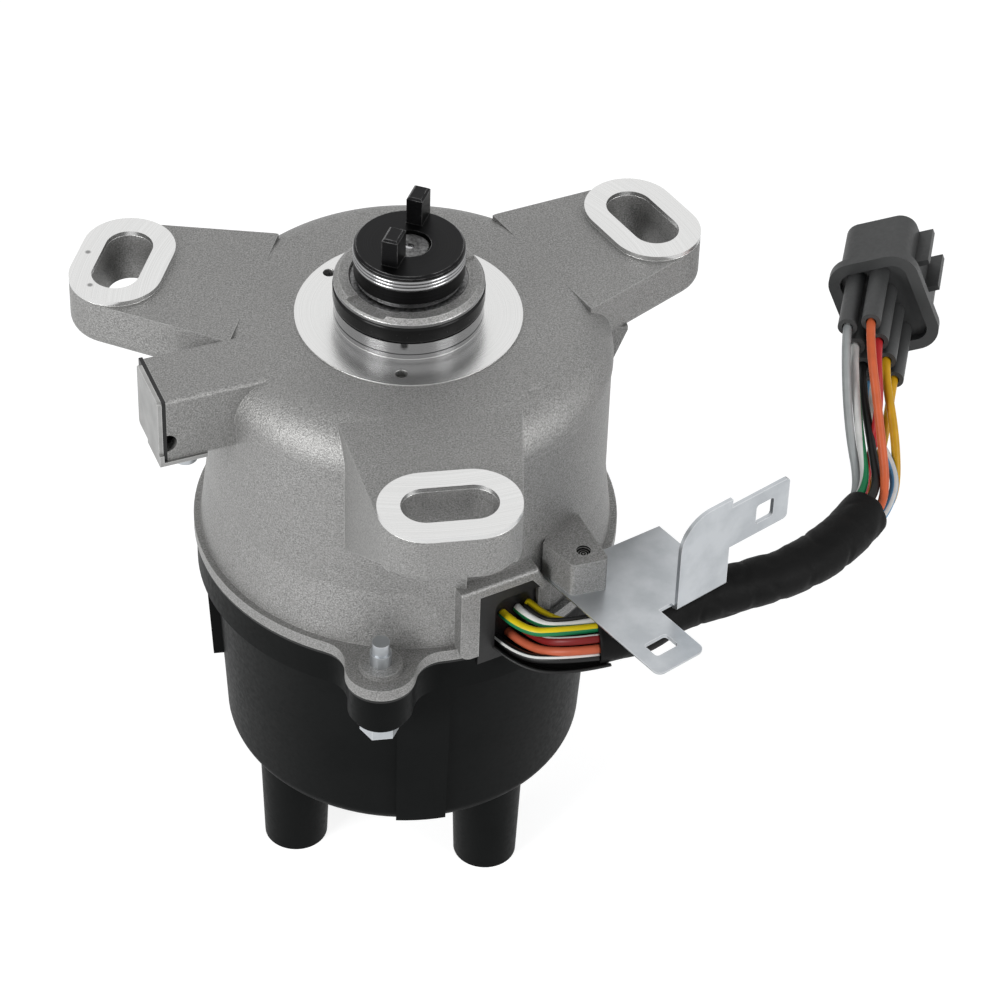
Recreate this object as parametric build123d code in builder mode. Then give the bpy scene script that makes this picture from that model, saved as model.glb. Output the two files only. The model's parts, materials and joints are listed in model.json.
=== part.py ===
from build123d import *
from math import cos, hypot, radians, sin, sqrt, tan
import os

# Ignition distributor, in millimetres. The origin is the centre of the machined mounting face,
# on the shaft's axis. +Z runs along the shaft towards the drive coupling, and the front ear lies
# along -Y. Row angles are measured from +X towards +Y.

os.makedirs("parts", exist_ok=True)

# Housing: a die-cast pot, its roof at the mounting face and its mouth down towards the cap
ROOF_DROP = 0.4
BODY_R = 46.0
LOWER_BODY_R = BODY_R - 0.3
PARTING_Z = -11.0
SHOULDER_R = 10.0
FLARE_Z = -43.0
FLANGE_R = BODY_R + 3.0
FLANGE_TOP_Z = -58.0
FLANGE_Z = -61.0
FLANGE_STEP = 1.6
CAVITY_R = LOWER_BODY_R - 3.7
CAVITY_CORNER = 8.0
ROOF_WALL = 5.0
RING_R = 25.4
SPIGOT_R = 16.75
SPIGOT_TOP_Z = 10.5
O_RING_LOW_Z = 4.3
O_RING_HIGH_Z = 8.7
O_RING_DEPTH = 2.1
O_RING_PROUD = 0.2
O_RING_ROUND = 0.9
RIM_CHAMFER = 1.1
RIM_SLOT_WIDTH = 9.8
RIM_SLOT_OFFSET = -5.7
RIM_SLOT_DEPTH = 0.6
RIM_SLOT_ANGLE = 21.5
SPIGOT_LINE_Z = 1.2
SPIGOT_LINE = 0.3
RING_DRILLINGS = ((-4.4, -21.2), (-15.9, 15.8))
DRILLING_R = 1.4
DRILLING_DEPTH = 2.0

# Ears: three slotted pads on tapered arms
EAR_ANGLES = (-90.0, 158.2, 24.85)
EAR_RADII = (BODY_R + 19.7, BODY_R + 20.2, BODY_R + 17.3)
EAR_THICK = 12.0
EAR_EDGE_R = 3.0
ARM_ROOT_R = BODY_R - SHOULDER_R
ARM_ROOT_WIDTH = 40.0
PAD_LENGTH = 31.0
PAD_WIDTH = 21.0
PAD_RAISE = 1.0
SLOT_LENGTH = 21.0
SLOT_WIDTH = 10.8
GUSSET_R = BODY_R + 4.5
GUSSET_DROP = 26.0
GUSSET_HALF_ARC = 22.0
FRONT_WEB_DROP = 31.0
FRONT_WEB_OUTER_R = EAR_RADII[0] + 3.3

# Flat web under the front ear, between the body and the window hood
WEB_LEFT_X = -11.0
WEB_RIGHT_X = 7.0
WEB_FACE_ANGLE = -10.0
WEB_TOP_Z = -14.0

# Flange lugs and cap screws
LUG_ANGLES = (-103.5, 38.0, 126.0)
LUG_R = FLANGE_R + 4.5
LUG_ROUND_R = 8.0
LUG_BLEND_R = 7.0
SPOT_BOSS_R = 4.8
SPOT_BOSS_RAISE = 1.4
SCREW_R = 2.45
SCREW_HOLE_R = 2.5
SCREW_TIP_R = 2.0
SCREW_TIP_Z = -50.4
SCREW_COLLAR_Z = -53.4
SCREW_HEX_ACROSS = 8.0
SCREW_HEAD = 3.4
SCREW_WASHER_R = 4.6
SCREW_WASHER = 1.0

# Inside the housing: bearing tube and mounting posts
HUB_R = 17.0
HUB_FOOT_R = 11.5
HUB_FOOT_Z = -33.0
HUB_BLEND_Z = -16.0
HUB_BLEND_DROP = 6.0
BEARING_R = 13.0
BEARING_TOP_Z = 1.6
BEARING_WIDTH = 8.0
SHOULDER_BORE_R = 10.0
SHOULDER_DEPTH = 4.0
SHOULDER_TAPER = 3.0
SEAL_LEAD_IN = 0.4
RUNNING_FIT = 0.05
SEAT_FIT = 0.02
RACE_DEPTH = 1.2
BALL_R = 2.0
BALL_COUNT = 8
CAGE_HALF_HEIGHT = 2.6
CAGE_HALF_THICK = 0.55

# Shaft
SHAFT_R = 5.0
SHAFT_BODY_R = 6.0
BUSH_R = 8.0
BUSH_LENGTH = 10.0
SHAFT_LOWER_R = 5.5
SHAFT_LOWER_END_Z = -84.0
SHAFT_FLAT = 1.2
SHAFT_CHAMFER = 0.6
SHAFT_TOP_Z = 18.4
CENTRE_HOLE_R = 1.0
CENTRE_HOLE_DEPTH = 2.5
SEAL_LENGTH = 7.2
SLEEVE_R = 6.3
SNAP_RING_THICK = 1.0
SNAP_GROOVE_R = 13.7
SNAP_RING_INNER_R = 10.8
SNAP_RING_OPENING = 5.0
SEAL_LIP = 0.9

# Drive coupling
COUPLING_R = 12.3
COUPLING_TOP_Z = 19.1
COUPLING_FOOT_Z = 11.2
COUPLING_BORE_R = 4.75
COUPLING_WASHER = 0.8
WASHER_INSET = 0.5
COUPLING_CHAMFER = 0.5
TANG_CHAMFER = 0.5
TANG_TOP_Z = 26.0
TANG_WIDTH = 3.7
TANG_LENGTH = 5.4
TANG_ANGLE = 62.8
TANG_OFFSET = 1.36
TANG_PLACES = (-6.6, 9.4)
SPRING_WIRE_R = 0.45
SPRING_TURNS = 3
SPRING_WIRE_PITCH = 0.88
SPRING_GROOVE_R = 11.6
SPRING_FOOT_Z = 15.3
SPRING_TOP_Z = 18.1
PIN_END_R = 11.5
PIN_R = 1.5
PIN_Z = 16.7

# Reluctors and pickups
RELUCTOR_PITCH = 5.6
RELUCTOR_TOP_Z = -35.4
RELUCTOR_PLATE = 2.4
RELUCTOR_HUB_R = 8.2
RELUCTOR_BASE_R = 12.6
RELUCTOR_TIP_R = 15.0
RELUCTORS = (("crank_reluctor", 24, 1.6), ("tdc_reluctor", 4, 3.0), ("cylinder_reluctor", 1, 4.0))
CIRCLIP_R = 7.6
CIRCLIP_THICK = 1.0
CIRCLIP_GROOVE_R = 4.8
PICKUP_ANGLES = (-45.0, -84.0, -6.0)
PICKUP_GAP = 0.6
PICKUP_NAMES = ("crank_pickup", "tdc_pickup", "cylinder_pickup")
PICKUP_LENGTH = 12.0
PICKUP_WIDTH = 11.0
PICKUP_POLE = 3.0
PICKUP_INNER_R = 19.0
PLATE_THICK = 1.6
PLATE_INNER_R = 21.0
PLATE_OUTER_R = CAVITY_R - 1.5
PLATE_START = -108.0
PLATE_ARC = 126.0
PLATE_TOP_Z = -29.5
PLATE_POST_R = 3.2
PLATE_POSTS_AT = (-103.0, -65.0, 13.0)
PLATE_POST_RING_R = CAVITY_R - 6.0

# Ignition coil, igniter and condenser
COIL_SIZE = (19.0, 32.0, 30.0)
COIL_CENTRE_R = CAVITY_R - 13.5
COIL_ANGLE = 180.0
COIL_TOP_Z = -23.0
COIL_CORE_HEIGHT = 14.0
COIL_CORE_DROP = 8.0
COIL_CORE_LIMB = 4.0
COIL_CASE_GAP = 1.5
IGNITER_SIZE = (9.0, 31.0, 24.0)
IGNITER_CENTRE_R = CAVITY_R - 10.0
IGNITER_ANGLE = 75.0
IGNITER_TOP_Z = -23.0
CONDENSER_R = 5.5
CONDENSER_LENGTH = 18.0
CONDENSER_ANGLE = 127.0
CONDENSER_CENTRE_R = CAVITY_R - 7.0
CONDENSER_TOP_Z = -23.0
CONDENSER_SCREW_R = CONDENSER_CENTRE_R - 10.0
STRAP_WIDTH = 7.0
STRAP_THICK = 1.5
IGNITER_FLANGE = 2.5
IGNITER_BODY_WIDTH = 19.0
IGNITER_EDGE_R = 1.0
IGNITER_SCREW_SIDE = 12.5
COIL_SCREW_SIDE = 14.0
SMALL_SCREW_BITE = 4.4
SMALL_HOLE_DEPTH = 7.0
SMALL_SCREW_R = 1.5
SMALL_HEAD_R = 2.8
SMALL_HEAD = 2.0

# Leak cover and gasket
LEAK_R = CAVITY_R + 1.6
LEAK_GAP = 0.2
LEAK_THICK = 1.8
LEAK_BORE_R = 8.0
LEAK_FLAT = CAVITY_R - 0.2
GASKET_THICK = 1.0
GASKET_INSET = 0.3
GASKET_INNER_R = CAVITY_R + 1.5
LUG_HOLE_R = 2.75

# Cap
CAP_TOP_Z = FLANGE_Z - GASKET_THICK
CAP_RIM_R = FLANGE_R - 0.6
CAP_RIM_HEIGHT = 8.5
CAP_WALL_TOP_R = CAP_RIM_R - 3.8
CAP_WALL_FOOT_R = CAP_WALL_TOP_R - 2.4
CAP_FOOT_Z = -120.0
CAP_EDGE_R = 4.0
CAP_WALL = 3.4
CAP_FLOOR = 4.0
CAP_LUG_HEIGHT = 10.5
CAP_FOOT_MARGIN = 1.6
CAP_RIB_ANGLE = -92.0
CAP_RIB_HALF_ARC = 7.7
CAP_RIB_RAISE = 1.2
CAP_RIB_FOOT = 2.4
CAP_BLOCK_ANGLE = 174.0
CAP_BLOCK_HALF_ARC = 6.4
CAP_BLOCK_RAISE = 2.4
CAP_BLOCK_TOP_Z = -69.0
CAP_BLOCK_FOOT_Z = -99.5
TOWER_ANGLES = (-59.6, 30.4, 120.4, -149.6)
TOWER_CIRCLE_R = CAP_WALL_FOOT_R - 9.8
TOWER_R = 7.5
TOWER_ROOT_R = 8.3
TOWER_END_Z = -144.5
TOWER_BORE_R = 4.6
TOWER_BORE_DEPTH = 14.0
TOWER_CUP_R = 3.8
TOWER_CUP_WALL = 0.8
TOWER_CUP_LENGTH = 7.0
ELECTRODE_TOP_Z = -92.0
ELECTRODE_R = TOWER_CIRCLE_R - 2.0
STUD_R = 1.6
ELECTRODE_THICK = 2.4
ELECTRODE_WIDTH = 6.0

# Rotor, brush and centre terminal
ROTOR_TOP_Z = -66.0
ROTOR_FOOT_Z = -99.0
ROTOR_HUB_R = 9.6
ROTOR_ARM_THICK = 5.0
ROTOR_ARM_WIDTH = 15.0
ROTOR_TIP_R = ELECTRODE_R - 0.8
ROTOR_ARM_R = ROTOR_TIP_R - 2.1
ROTOR_TAIL_R = 15.0
ROTOR_ANGLE = 30.4
ROTOR_STRIP = 1.2
ROTOR_STRIP_WIDTH = 9.0
ROTOR_END_GAP = 0.3
ROTOR_SCREW_Z = -74.0
BRUSH_R = 2.2
BRUSH_BORE_R = 2.25
BRUSH_LENGTH = 7.0
BRUSH_GAP = 0.1
BRUSH_HOLDER_R = 5.0
BRUSH_SPRING_LENGTH = 5.4
BRUSH_SPRING_PITCH = 1.2
BRUSH_WIRE_R = 0.25
BRUSH_HOLDER_TOP_Z = -104.0
TERMINAL_THICK = 0.8

# Side chamber with its cover, on the left
CHAMBER_ANGLE = 193.0
CHAMBER_END_R = BODY_R + 14.2
CHAMBER_END_ANGLE = 195.9
CHAMBER_WIDTH = 16.4
CHAMBER_HEIGHT = 16.5
CHAMBER_WALL = 2.4
CHAMBER_REACH = 24.0
CHAMBER_DEPTH = 13.0
CHAMBER_EDGE_R = 1.0
VENT_R = 2.3
VENT_RAISE = 4.8
SIDE_GASKET_THICK = 0.9
SIDE_COVER_THICK = 1.0
SIDE_FOOT_LENGTH = 11.0
SIDE_FOOT_WIDTH = 9.0
SIDE_COVER_WIDTH = 14.6
SIDE_COVER_EDGE_R = 1.0
SIDE_FOOT_PROUD = 0.6
SIDE_SCREW = (-4.9, 5.4)

# Window hood, grommet and inner leads
WINDOW_ANGLE = -70.0
WINDOW_DIST = FLANGE_R - 0.1
WINDOW_LEFT = -7.1
WINDOW_RIGHT = 9.4
WINDOW_TOP_Z = -43.4
WINDOW_CORNER = 6.1
WINDOW_CORNER_DROP = 4.6
HOOD_LEFT = -11.8
HOOD_RIGHT = 12.6
HOOD_ROOF_Z = -40.8
HOOD_ROOF_RIGHT = 7.6
HOOD_SHOULDER = 10.0
HOOD_EDGE_R = 3.0
HOOD_FRONT_R = 0.8
HOOD_ROOT = CAVITY_R - 4.0
LEAD_ROOM_DIST = WINDOW_DIST - 2.9
GROMMET_FACE = WINDOW_DIST - 0.5
GROMMET_BACK = CAVITY_R
GROMMET_FOOT_Z = -64.0
NOTCH_GAP = 0.1
RECESS_TOP_Z = -46.6
RECESS_FOOT_Z = -63.2
RECESS_EDGE_R = 3.0
GROMMET_RECESS_LEFT = -2.9
GROMMET_RECESS_DEPTH = 3.5
LEAD_R = 1.05

# Bracket boss and bracket, on the pair of directions at +30 and -60 degrees
BRACKET_ANGLE = 30.0
BOSS_TOP_Z = -37.0
BOSS_CORNERS = ((34.6, -30.3), (25.3, -39.0), (30.5, -47.2), (39.1, -46.0))
BOSS_EDGE_R = 1.2
BOSS_HOLE = (33.8, -42.4)
BOSS_HOLE_R = 1.65
SHEET = 1.0
PLATE_GAP = 0.2
PLATE_Z = -46.0
BRACKET_LEFT = 2.0
BRACKET_RIGHT = 33.6
BRACKET_REAR = 47.2
BRACKET_REAR_RIGHT = 50.2
BRACKET_BEND = 73.3
BRACKET_TONGUE_END = 87.2
BRACKET_TONGUE_RIGHT = 15.6
BRACKET_TAB_LEFT = 19.2
BRACKET_TAB_TOP_Z = -21.6
BRACKET_TAB_EDGE_R = 8.5
BRACKET_ARM_END = 50.6
BRACKET_ARM_TOP_Z = -24.0
BRACKET_ARM_FOOT_Z = -35.8
RELIEF_DEPTH = 2.0
TONGUE_EDGE_R = 2.0
SLOT_EDGE_R = 0.8
BEND_OUTER_R = 0.9
BRACKET_ARM_EDGE_R = 1.2
ARM_SLOT = (41.0, 46.1, -32.9, -27.5)
TONGUE_SLOT = (5.6, 11.8, 77.9, 82.4)
BRACKET_HEAD_R = 3.4
BRACKET_HEAD = 2.2

# Harness sleeve and connector
SLEEVE_HOSE_R = 5.9
BEND_SHARE = 0.45
SLEEVE_ROUTE = (
    (36.2, -51.2, -56.0), (44.6, -51.2, -55.6), (53.6, -44.9, -55.0), (63.2, -41.4, -54.8),
    (73.1, -38.9, -54.7), (82.5, -36.4, -54.7), (91.0, -31.4, -55.0), (98.4, -25.0, -55.2),
    (104.6, -17.8, -55.2),
)
INNER_LEAD_ROUTES = (
    ((22.3, -39.7, -53.9), (25.1, -44.7, -53.9), (30.7, -47.6, -54.2), (36.2, -47.6, -53.9)),
    ((19.6, -40.7, -54.2), (22.8, -46.6, -54.2), (29.7, -49.4, -52.7), (36.2, -49.4, -52.4)),
    ((16.0, -42.0, -54.2), (19.9, -49.1, -54.2), (28.4, -51.7, -52.4), (36.2, -51.7, -52.0)),
    ((19.3, -40.8, -58.2), (23.2, -47.6, -58.2), (28.5, -53.9, -53.6), (36.2, -53.9, -53.2)),
    ((17.6, -41.4, -60.6), (21.4, -47.8, -60.6), (28.4, -55.0, -55.8), (36.2, -55.0, -55.4)),
    ((14.6, -42.5, -61.2), (18.6, -49.6, -61.2), (27.7, -55.0, -58.0), (36.2, -55.0, -57.6)),
)
OUTER_WIRE_ROUTES = (
    ((101.7, -15.3, -54.5), (105.0, -11.5, -54.5), (103.3, -1.0, -42.7),
     (104.3, 12.4, -27.6), (106.6, 19.0, -27.9)),
    ((102.9, -16.3, -52.0), (106.2, -12.6, -52.0), (105.7, -3.0, -44.0),
     (106.4, 11.7, -32.8), (108.7, 18.1, -33.1)),
    ((105.1, -18.2, -51.4), (108.4, -14.5, -51.4), (108.6, -4.5, -46.9),
     (108.5, 10.7, -38.0), (110.8, 17.1, -38.3)),
    ((107.5, -20.3, -55.9), (110.8, -16.5, -55.9), (114.0, -9.6, -51.8),
     (109.6, 1.3, -45.8), (110.6, 9.7, -43.2),
     (112.9, 16.2, -43.5)),
    ((107.0, -19.9, -53.0), (110.3, -16.1, -53.0), (109.9, -4.1, -39.9),
     (109.4, 11.0, -25.3), (111.6, 17.4, -25.6)),
    ((102.2, -15.7, -57.4), (105.4, -11.9, -57.4), (106.9, -8.2, -54.6),
     (111.3, 1.1, -40.6), (111.5, 10.1, -30.5),
     (113.7, 16.5, -30.8)),
    ((106.3, -19.3, -58.4), (109.6, -15.5, -58.4), (114.1, -10.5, -56.3),
     (114.7, -2.2, -45.9), (113.6, 9.1, -35.7),
     (115.8, 15.5, -36.0)),
    ((104.1, -17.4, -59.0), (107.3, -13.6, -59.0), (108.4, -8.5, -58.3),
     (112.4, -0.9, -50.5), (115.7, 8.1, -40.9),
     (117.9, 14.5, -41.2)),
)
CONNECTOR_ORIGIN = (118.3, 30.9, -34.5)
CONNECTOR_X = (0.871, -0.279, 0.403)
CONNECTOR_Z = (0.3239, 0.945, -0.044)
CONNECTOR_WIDTH = 17.6
CONNECTOR_HEIGHT = 23.0
CONNECTOR_LENGTH = 20.5
CONNECTOR_WALL = 1.6
CONNECTOR_CORNER_R = 4.0
CONNECTOR_SKIRT = 2.2
CONNECTOR_SKIRT_LENGTH = 2.7
CONNECTOR_RECESS = 2.0
CONNECTOR_REAR_WALL = 0.6
BOOT_PITCH_X = 5.8
BOOT_PITCH_Y = 5.7
BOOT_R = 2.3
BOOT_BORE_R = 1.25
BOOT_BORE_DEPTH = 3.0
BOOT_LENGTH = 18.3
BOOT_SHIFT = -1.2
PIN_SIDE = 1.5
PIN_REACH = 6.0
CONNECTOR_MOUTH = 12.0
RAIL_HEIGHT = 3.4
RAIL_THICK = 1.4
RAIL_LENGTH = 13.0
RAIL_PLACES = (-5.0, 2.6)


def turned(angle, z=0.0):
    """A horizontal plane whose x direction lies along a row angle."""
    return Plane(origin=(0, 0, z), x_dir=(cos(radians(angle)), sin(radians(angle)), 0), z_dir=(0, 0, 1))


def facing(angle, distance):
    """An upright plane across a row angle, so far from the axis, with its y direction up."""
    outward = (cos(radians(angle)), sin(radians(angle)), 0)
    return Plane(origin=(*polar(distance, angle), 0), x_dir=(-outward[1], outward[0], 0), z_dir=outward)


def polar(radius, angle):
    """Plan coordinates of a row angle and radius."""
    return radius * cos(radians(angle)), radius * sin(radians(angle))


def at(angle, along, side):
    """Plan coordinates of a point so far along a row angle and so far to its left."""
    return (along * cos(radians(angle)) - side * sin(radians(angle)),
            along * sin(radians(angle)) + side * cos(radians(angle)))


def finish(piece, name):
    """Name a finished piece and write its file."""
    piece.part.label = name
    export_step(piece.part, f"parts/{name}.step")


def ring(outer, inner, z_low, z_high, name=None):
    """A plain turned ring on the shaft's axis."""
    with BuildPart() as piece:
        with BuildSketch(Plane.XY.offset(z_low)):
            Circle(outer)
            Circle(inner, mode=Mode.SUBTRACT)
        extrude(amount=z_high - z_low)
    if name:
        finish(piece, name)
    return piece


def flange_outline(inset):
    """The flange with its three lugs, moved in by an inset; an open sketch's content."""
    Circle(FLANGE_R - inset)
    for angle in LUG_ANGLES:
        with Locations(polar(LUG_R, angle)):
            Circle(LUG_ROUND_R - inset)


def window_outline(inset, foot_z):
    """The window's shape with its sloping right corner, moved in by an inset; an open sketch's content."""
    with BuildLine() as outline:
        Polyline(
            (WINDOW_LEFT + inset, foot_z), (WINDOW_LEFT + inset, WINDOW_TOP_Z - inset),
            (WINDOW_CORNER - inset, WINDOW_TOP_Z - inset),
            (WINDOW_RIGHT - inset, WINDOW_TOP_Z - WINDOW_CORNER_DROP - inset),
            (WINDOW_RIGHT - inset, foot_z), close=True,
        )
    make_face(outline.edges())


def cap_wall_r(z):
    """The radius of the cap's drafted wall at a height."""
    top_z = CAP_TOP_Z - CAP_RIM_HEIGHT
    share = (top_z - z) / (top_z - CAP_FOOT_Z - CAP_EDGE_R)
    return CAP_WALL_TOP_R + share * (CAP_WALL_FOOT_R - CAP_WALL_TOP_R)


def plate_outline(gap):
    """The bracket's flat plate without its tongue, grown by a gap; an open sketch's content."""
    with BuildLine() as outline:
        Polyline(
            (BRACKET_LEFT - gap, gap - BRACKET_REAR), (BRACKET_RIGHT + gap, gap - BRACKET_REAR_RIGHT),
            (BRACKET_RIGHT + gap, -BRACKET_BEND), (BRACKET_LEFT - gap, -BRACKET_BEND), close=True,
        )
    make_face(outline.edges())


# Heights and places that follow from the sizes above
CHAMBER_END = polar(CHAMBER_END_R, CHAMBER_END_ANGLE)
BEARING_FOOT_Z = BEARING_TOP_Z - BEARING_WIDTH
SEAL_FOOT_Z = BEARING_TOP_Z + SNAP_RING_THICK
SEAL_TOP_Z = SEAL_FOOT_Z + SEAL_LENGTH
WASHER_FOOT_Z = COUPLING_FOOT_Z - COUPLING_WASHER
BUSH_TOP_Z = HUB_FOOT_Z + BUSH_LENGTH
RELUCTOR_FOOT_Z = RELUCTOR_TOP_Z - RELUCTOR_PITCH * len(RELUCTORS)
CAP_INNER_FOOT_Z = CAP_FOOT_Z + CAP_FLOOR
ROTOR_STRIP_Z = ROTOR_FOOT_Z - ROTOR_STRIP
BRUSH_TOP_Z = ROTOR_STRIP_Z - BRUSH_GAP
BRUSH_FOOT_Z = BRUSH_TOP_Z - BRUSH_LENGTH
LEAK_Z = FLANGE_Z + LEAK_THICK
COIL_CORE_TOP_Z = COIL_TOP_Z - COIL_CORE_DROP
BALL_CIRCLE_R = (BEARING_R + SHAFT_R) / 2
BEARING_MID_Z = BEARING_TOP_Z - BEARING_WIDTH / 2
PLATE_FOOT_Z = PLATE_TOP_Z - PLATE_THICK
TOWER_FLOOR_Z = TOWER_END_Z + TOWER_BORE_DEPTH + TOWER_CUP_LENGTH
TERMINAL_FOOT_Z = BRUSH_FOOT_Z - BRUSH_SPRING_LENGTH - TERMINAL_THICK

# Screw places shared by the housing's posts and the pieces on them
sensor_spots = [polar(PLATE_POST_RING_R, a) for a in PLATE_POSTS_AT]
coil_spots = [at(COIL_ANGLE, COIL_CENTRE_R, side * COIL_SCREW_SIDE) for side in (-1, 1)]
igniter_spots = [at(IGNITER_ANGLE, IGNITER_CENTRE_R, side * IGNITER_SCREW_SIDE) for side in (-1, 1)]
condenser_spots = [polar(CONDENSER_SCREW_R, CONDENSER_ANGLE)]


# One arm with its ear, rounded along the lower edge, standing on the roof's plane
def arm(index, depth):
    angle = EAR_ANGLES[index]
    with BuildPart() as piece:
        with BuildSketch(turned(angle, -ROOF_DROP)):
            with Locations((EAR_RADII[index], 0)):
                SlotOverall(PAD_LENGTH, PAD_WIDTH, rotation=90)
            with Locations((ARM_ROOT_R, 0)):
                Rectangle(1.0, ARM_ROOT_WIDTH)
            make_hull()
        extrude(amount=-depth)
    return piece


ears = []
for index in range(3):
    ear = arm(index, EAR_THICK)
    with BuildPart() as rounded_ear:
        add(ear)
        lower_edges = rounded_ear.faces().sort_by(Axis.Z)[0].edges()
        outer_edges = lower_edges.filter_by(lambda e: hypot(e.center().X, e.center().Y) > ARM_ROOT_R + 2)
        fillet(outer_edges, EAR_EDGE_R)
    ears.append(rounded_ear)

with BuildPart() as front_web:
    add(arm(0, FRONT_WEB_DROP))
    with BuildSketch(Plane.YZ) as under_web:
        with BuildLine():
            Polyline(
                (-ARM_ROOT_R + 2, -FRONT_WEB_DROP - ROOF_DROP), (-BODY_R + 4, -FRONT_WEB_DROP - ROOF_DROP),
                (-FRONT_WEB_OUTER_R, -EAR_THICK - ROOF_DROP + 1.0), (-EAR_RADII[0] - PAD_WIDTH, -EAR_THICK),
                (-EAR_RADII[0] - PAD_WIDTH, -FRONT_WEB_DROP - 2), (-ARM_ROOT_R + 2, -FRONT_WEB_DROP - 2),
                close=True,
            )
        make_face()
    extrude(amount=ARM_ROOT_WIDTH, both=True, mode=Mode.SUBTRACT)
    with BuildSketch(Plane.XY.offset(-FRONT_WEB_DROP - 1)):
        with Locations((0, -EAR_RADII[0] - PAD_WIDTH / 2 + EAR_EDGE_R / 2)):
            Rectangle(PAD_LENGTH + 2, EAR_EDGE_R * 2)
    extrude(amount=FRONT_WEB_DROP - EAR_EDGE_R, mode=Mode.SUBTRACT)

chamber_axis = (cos(radians(CHAMBER_ANGLE)), sin(radians(CHAMBER_ANGLE)), 0)
chamber_plane = Plane(origin=(*CHAMBER_END, -ROOF_DROP), x_dir=chamber_axis, z_dir=(0, 0, 1))
with BuildPart() as chamber_block:
    with BuildSketch(chamber_plane):
        with Locations((-CHAMBER_REACH / 2, 0)):
            Rectangle(CHAMBER_REACH, CHAMBER_WIDTH)
    extrude(amount=-CHAMBER_HEIGHT)
    top_edges = chamber_block.faces().sort_by(Axis.Z)[-1].edges()
    fillet(top_edges.filter_by(lambda e: e.length > CHAMBER_WIDTH + 1), CHAMBER_EDGE_R)

# Window hood: a box whose roof falls away on the right, above the bracket
with BuildPart() as hood:
    with BuildSketch(facing(WINDOW_ANGLE, HOOD_ROOT)) as hood_outline:
        with BuildLine():
            Polyline(
                (HOOD_LEFT, FLANGE_Z), (HOOD_LEFT, HOOD_ROOF_Z), (HOOD_ROOF_RIGHT, HOOD_ROOF_Z),
                (HOOD_SHOULDER, PLATE_Z), (HOOD_RIGHT, PLATE_Z), (HOOD_RIGHT, FLANGE_Z), close=True,
            )
        make_face()
        fillet(hood_outline.vertices().group_by(Axis.Z)[-1].sort_by(Axis.X)[0], HOOD_EDGE_R)
    extrude(amount=WINDOW_DIST - HOOD_ROOT)
    hood_front = hood.faces().sort_by(facing(WINDOW_ANGLE, 0).location.to_axis())[-1]
    upper_edges = hood_front.edges().filter_by(lambda e: e.center().Z > PLATE_Z or e.center().X < 0)
    fillet(upper_edges, HOOD_FRONT_R)

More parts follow.
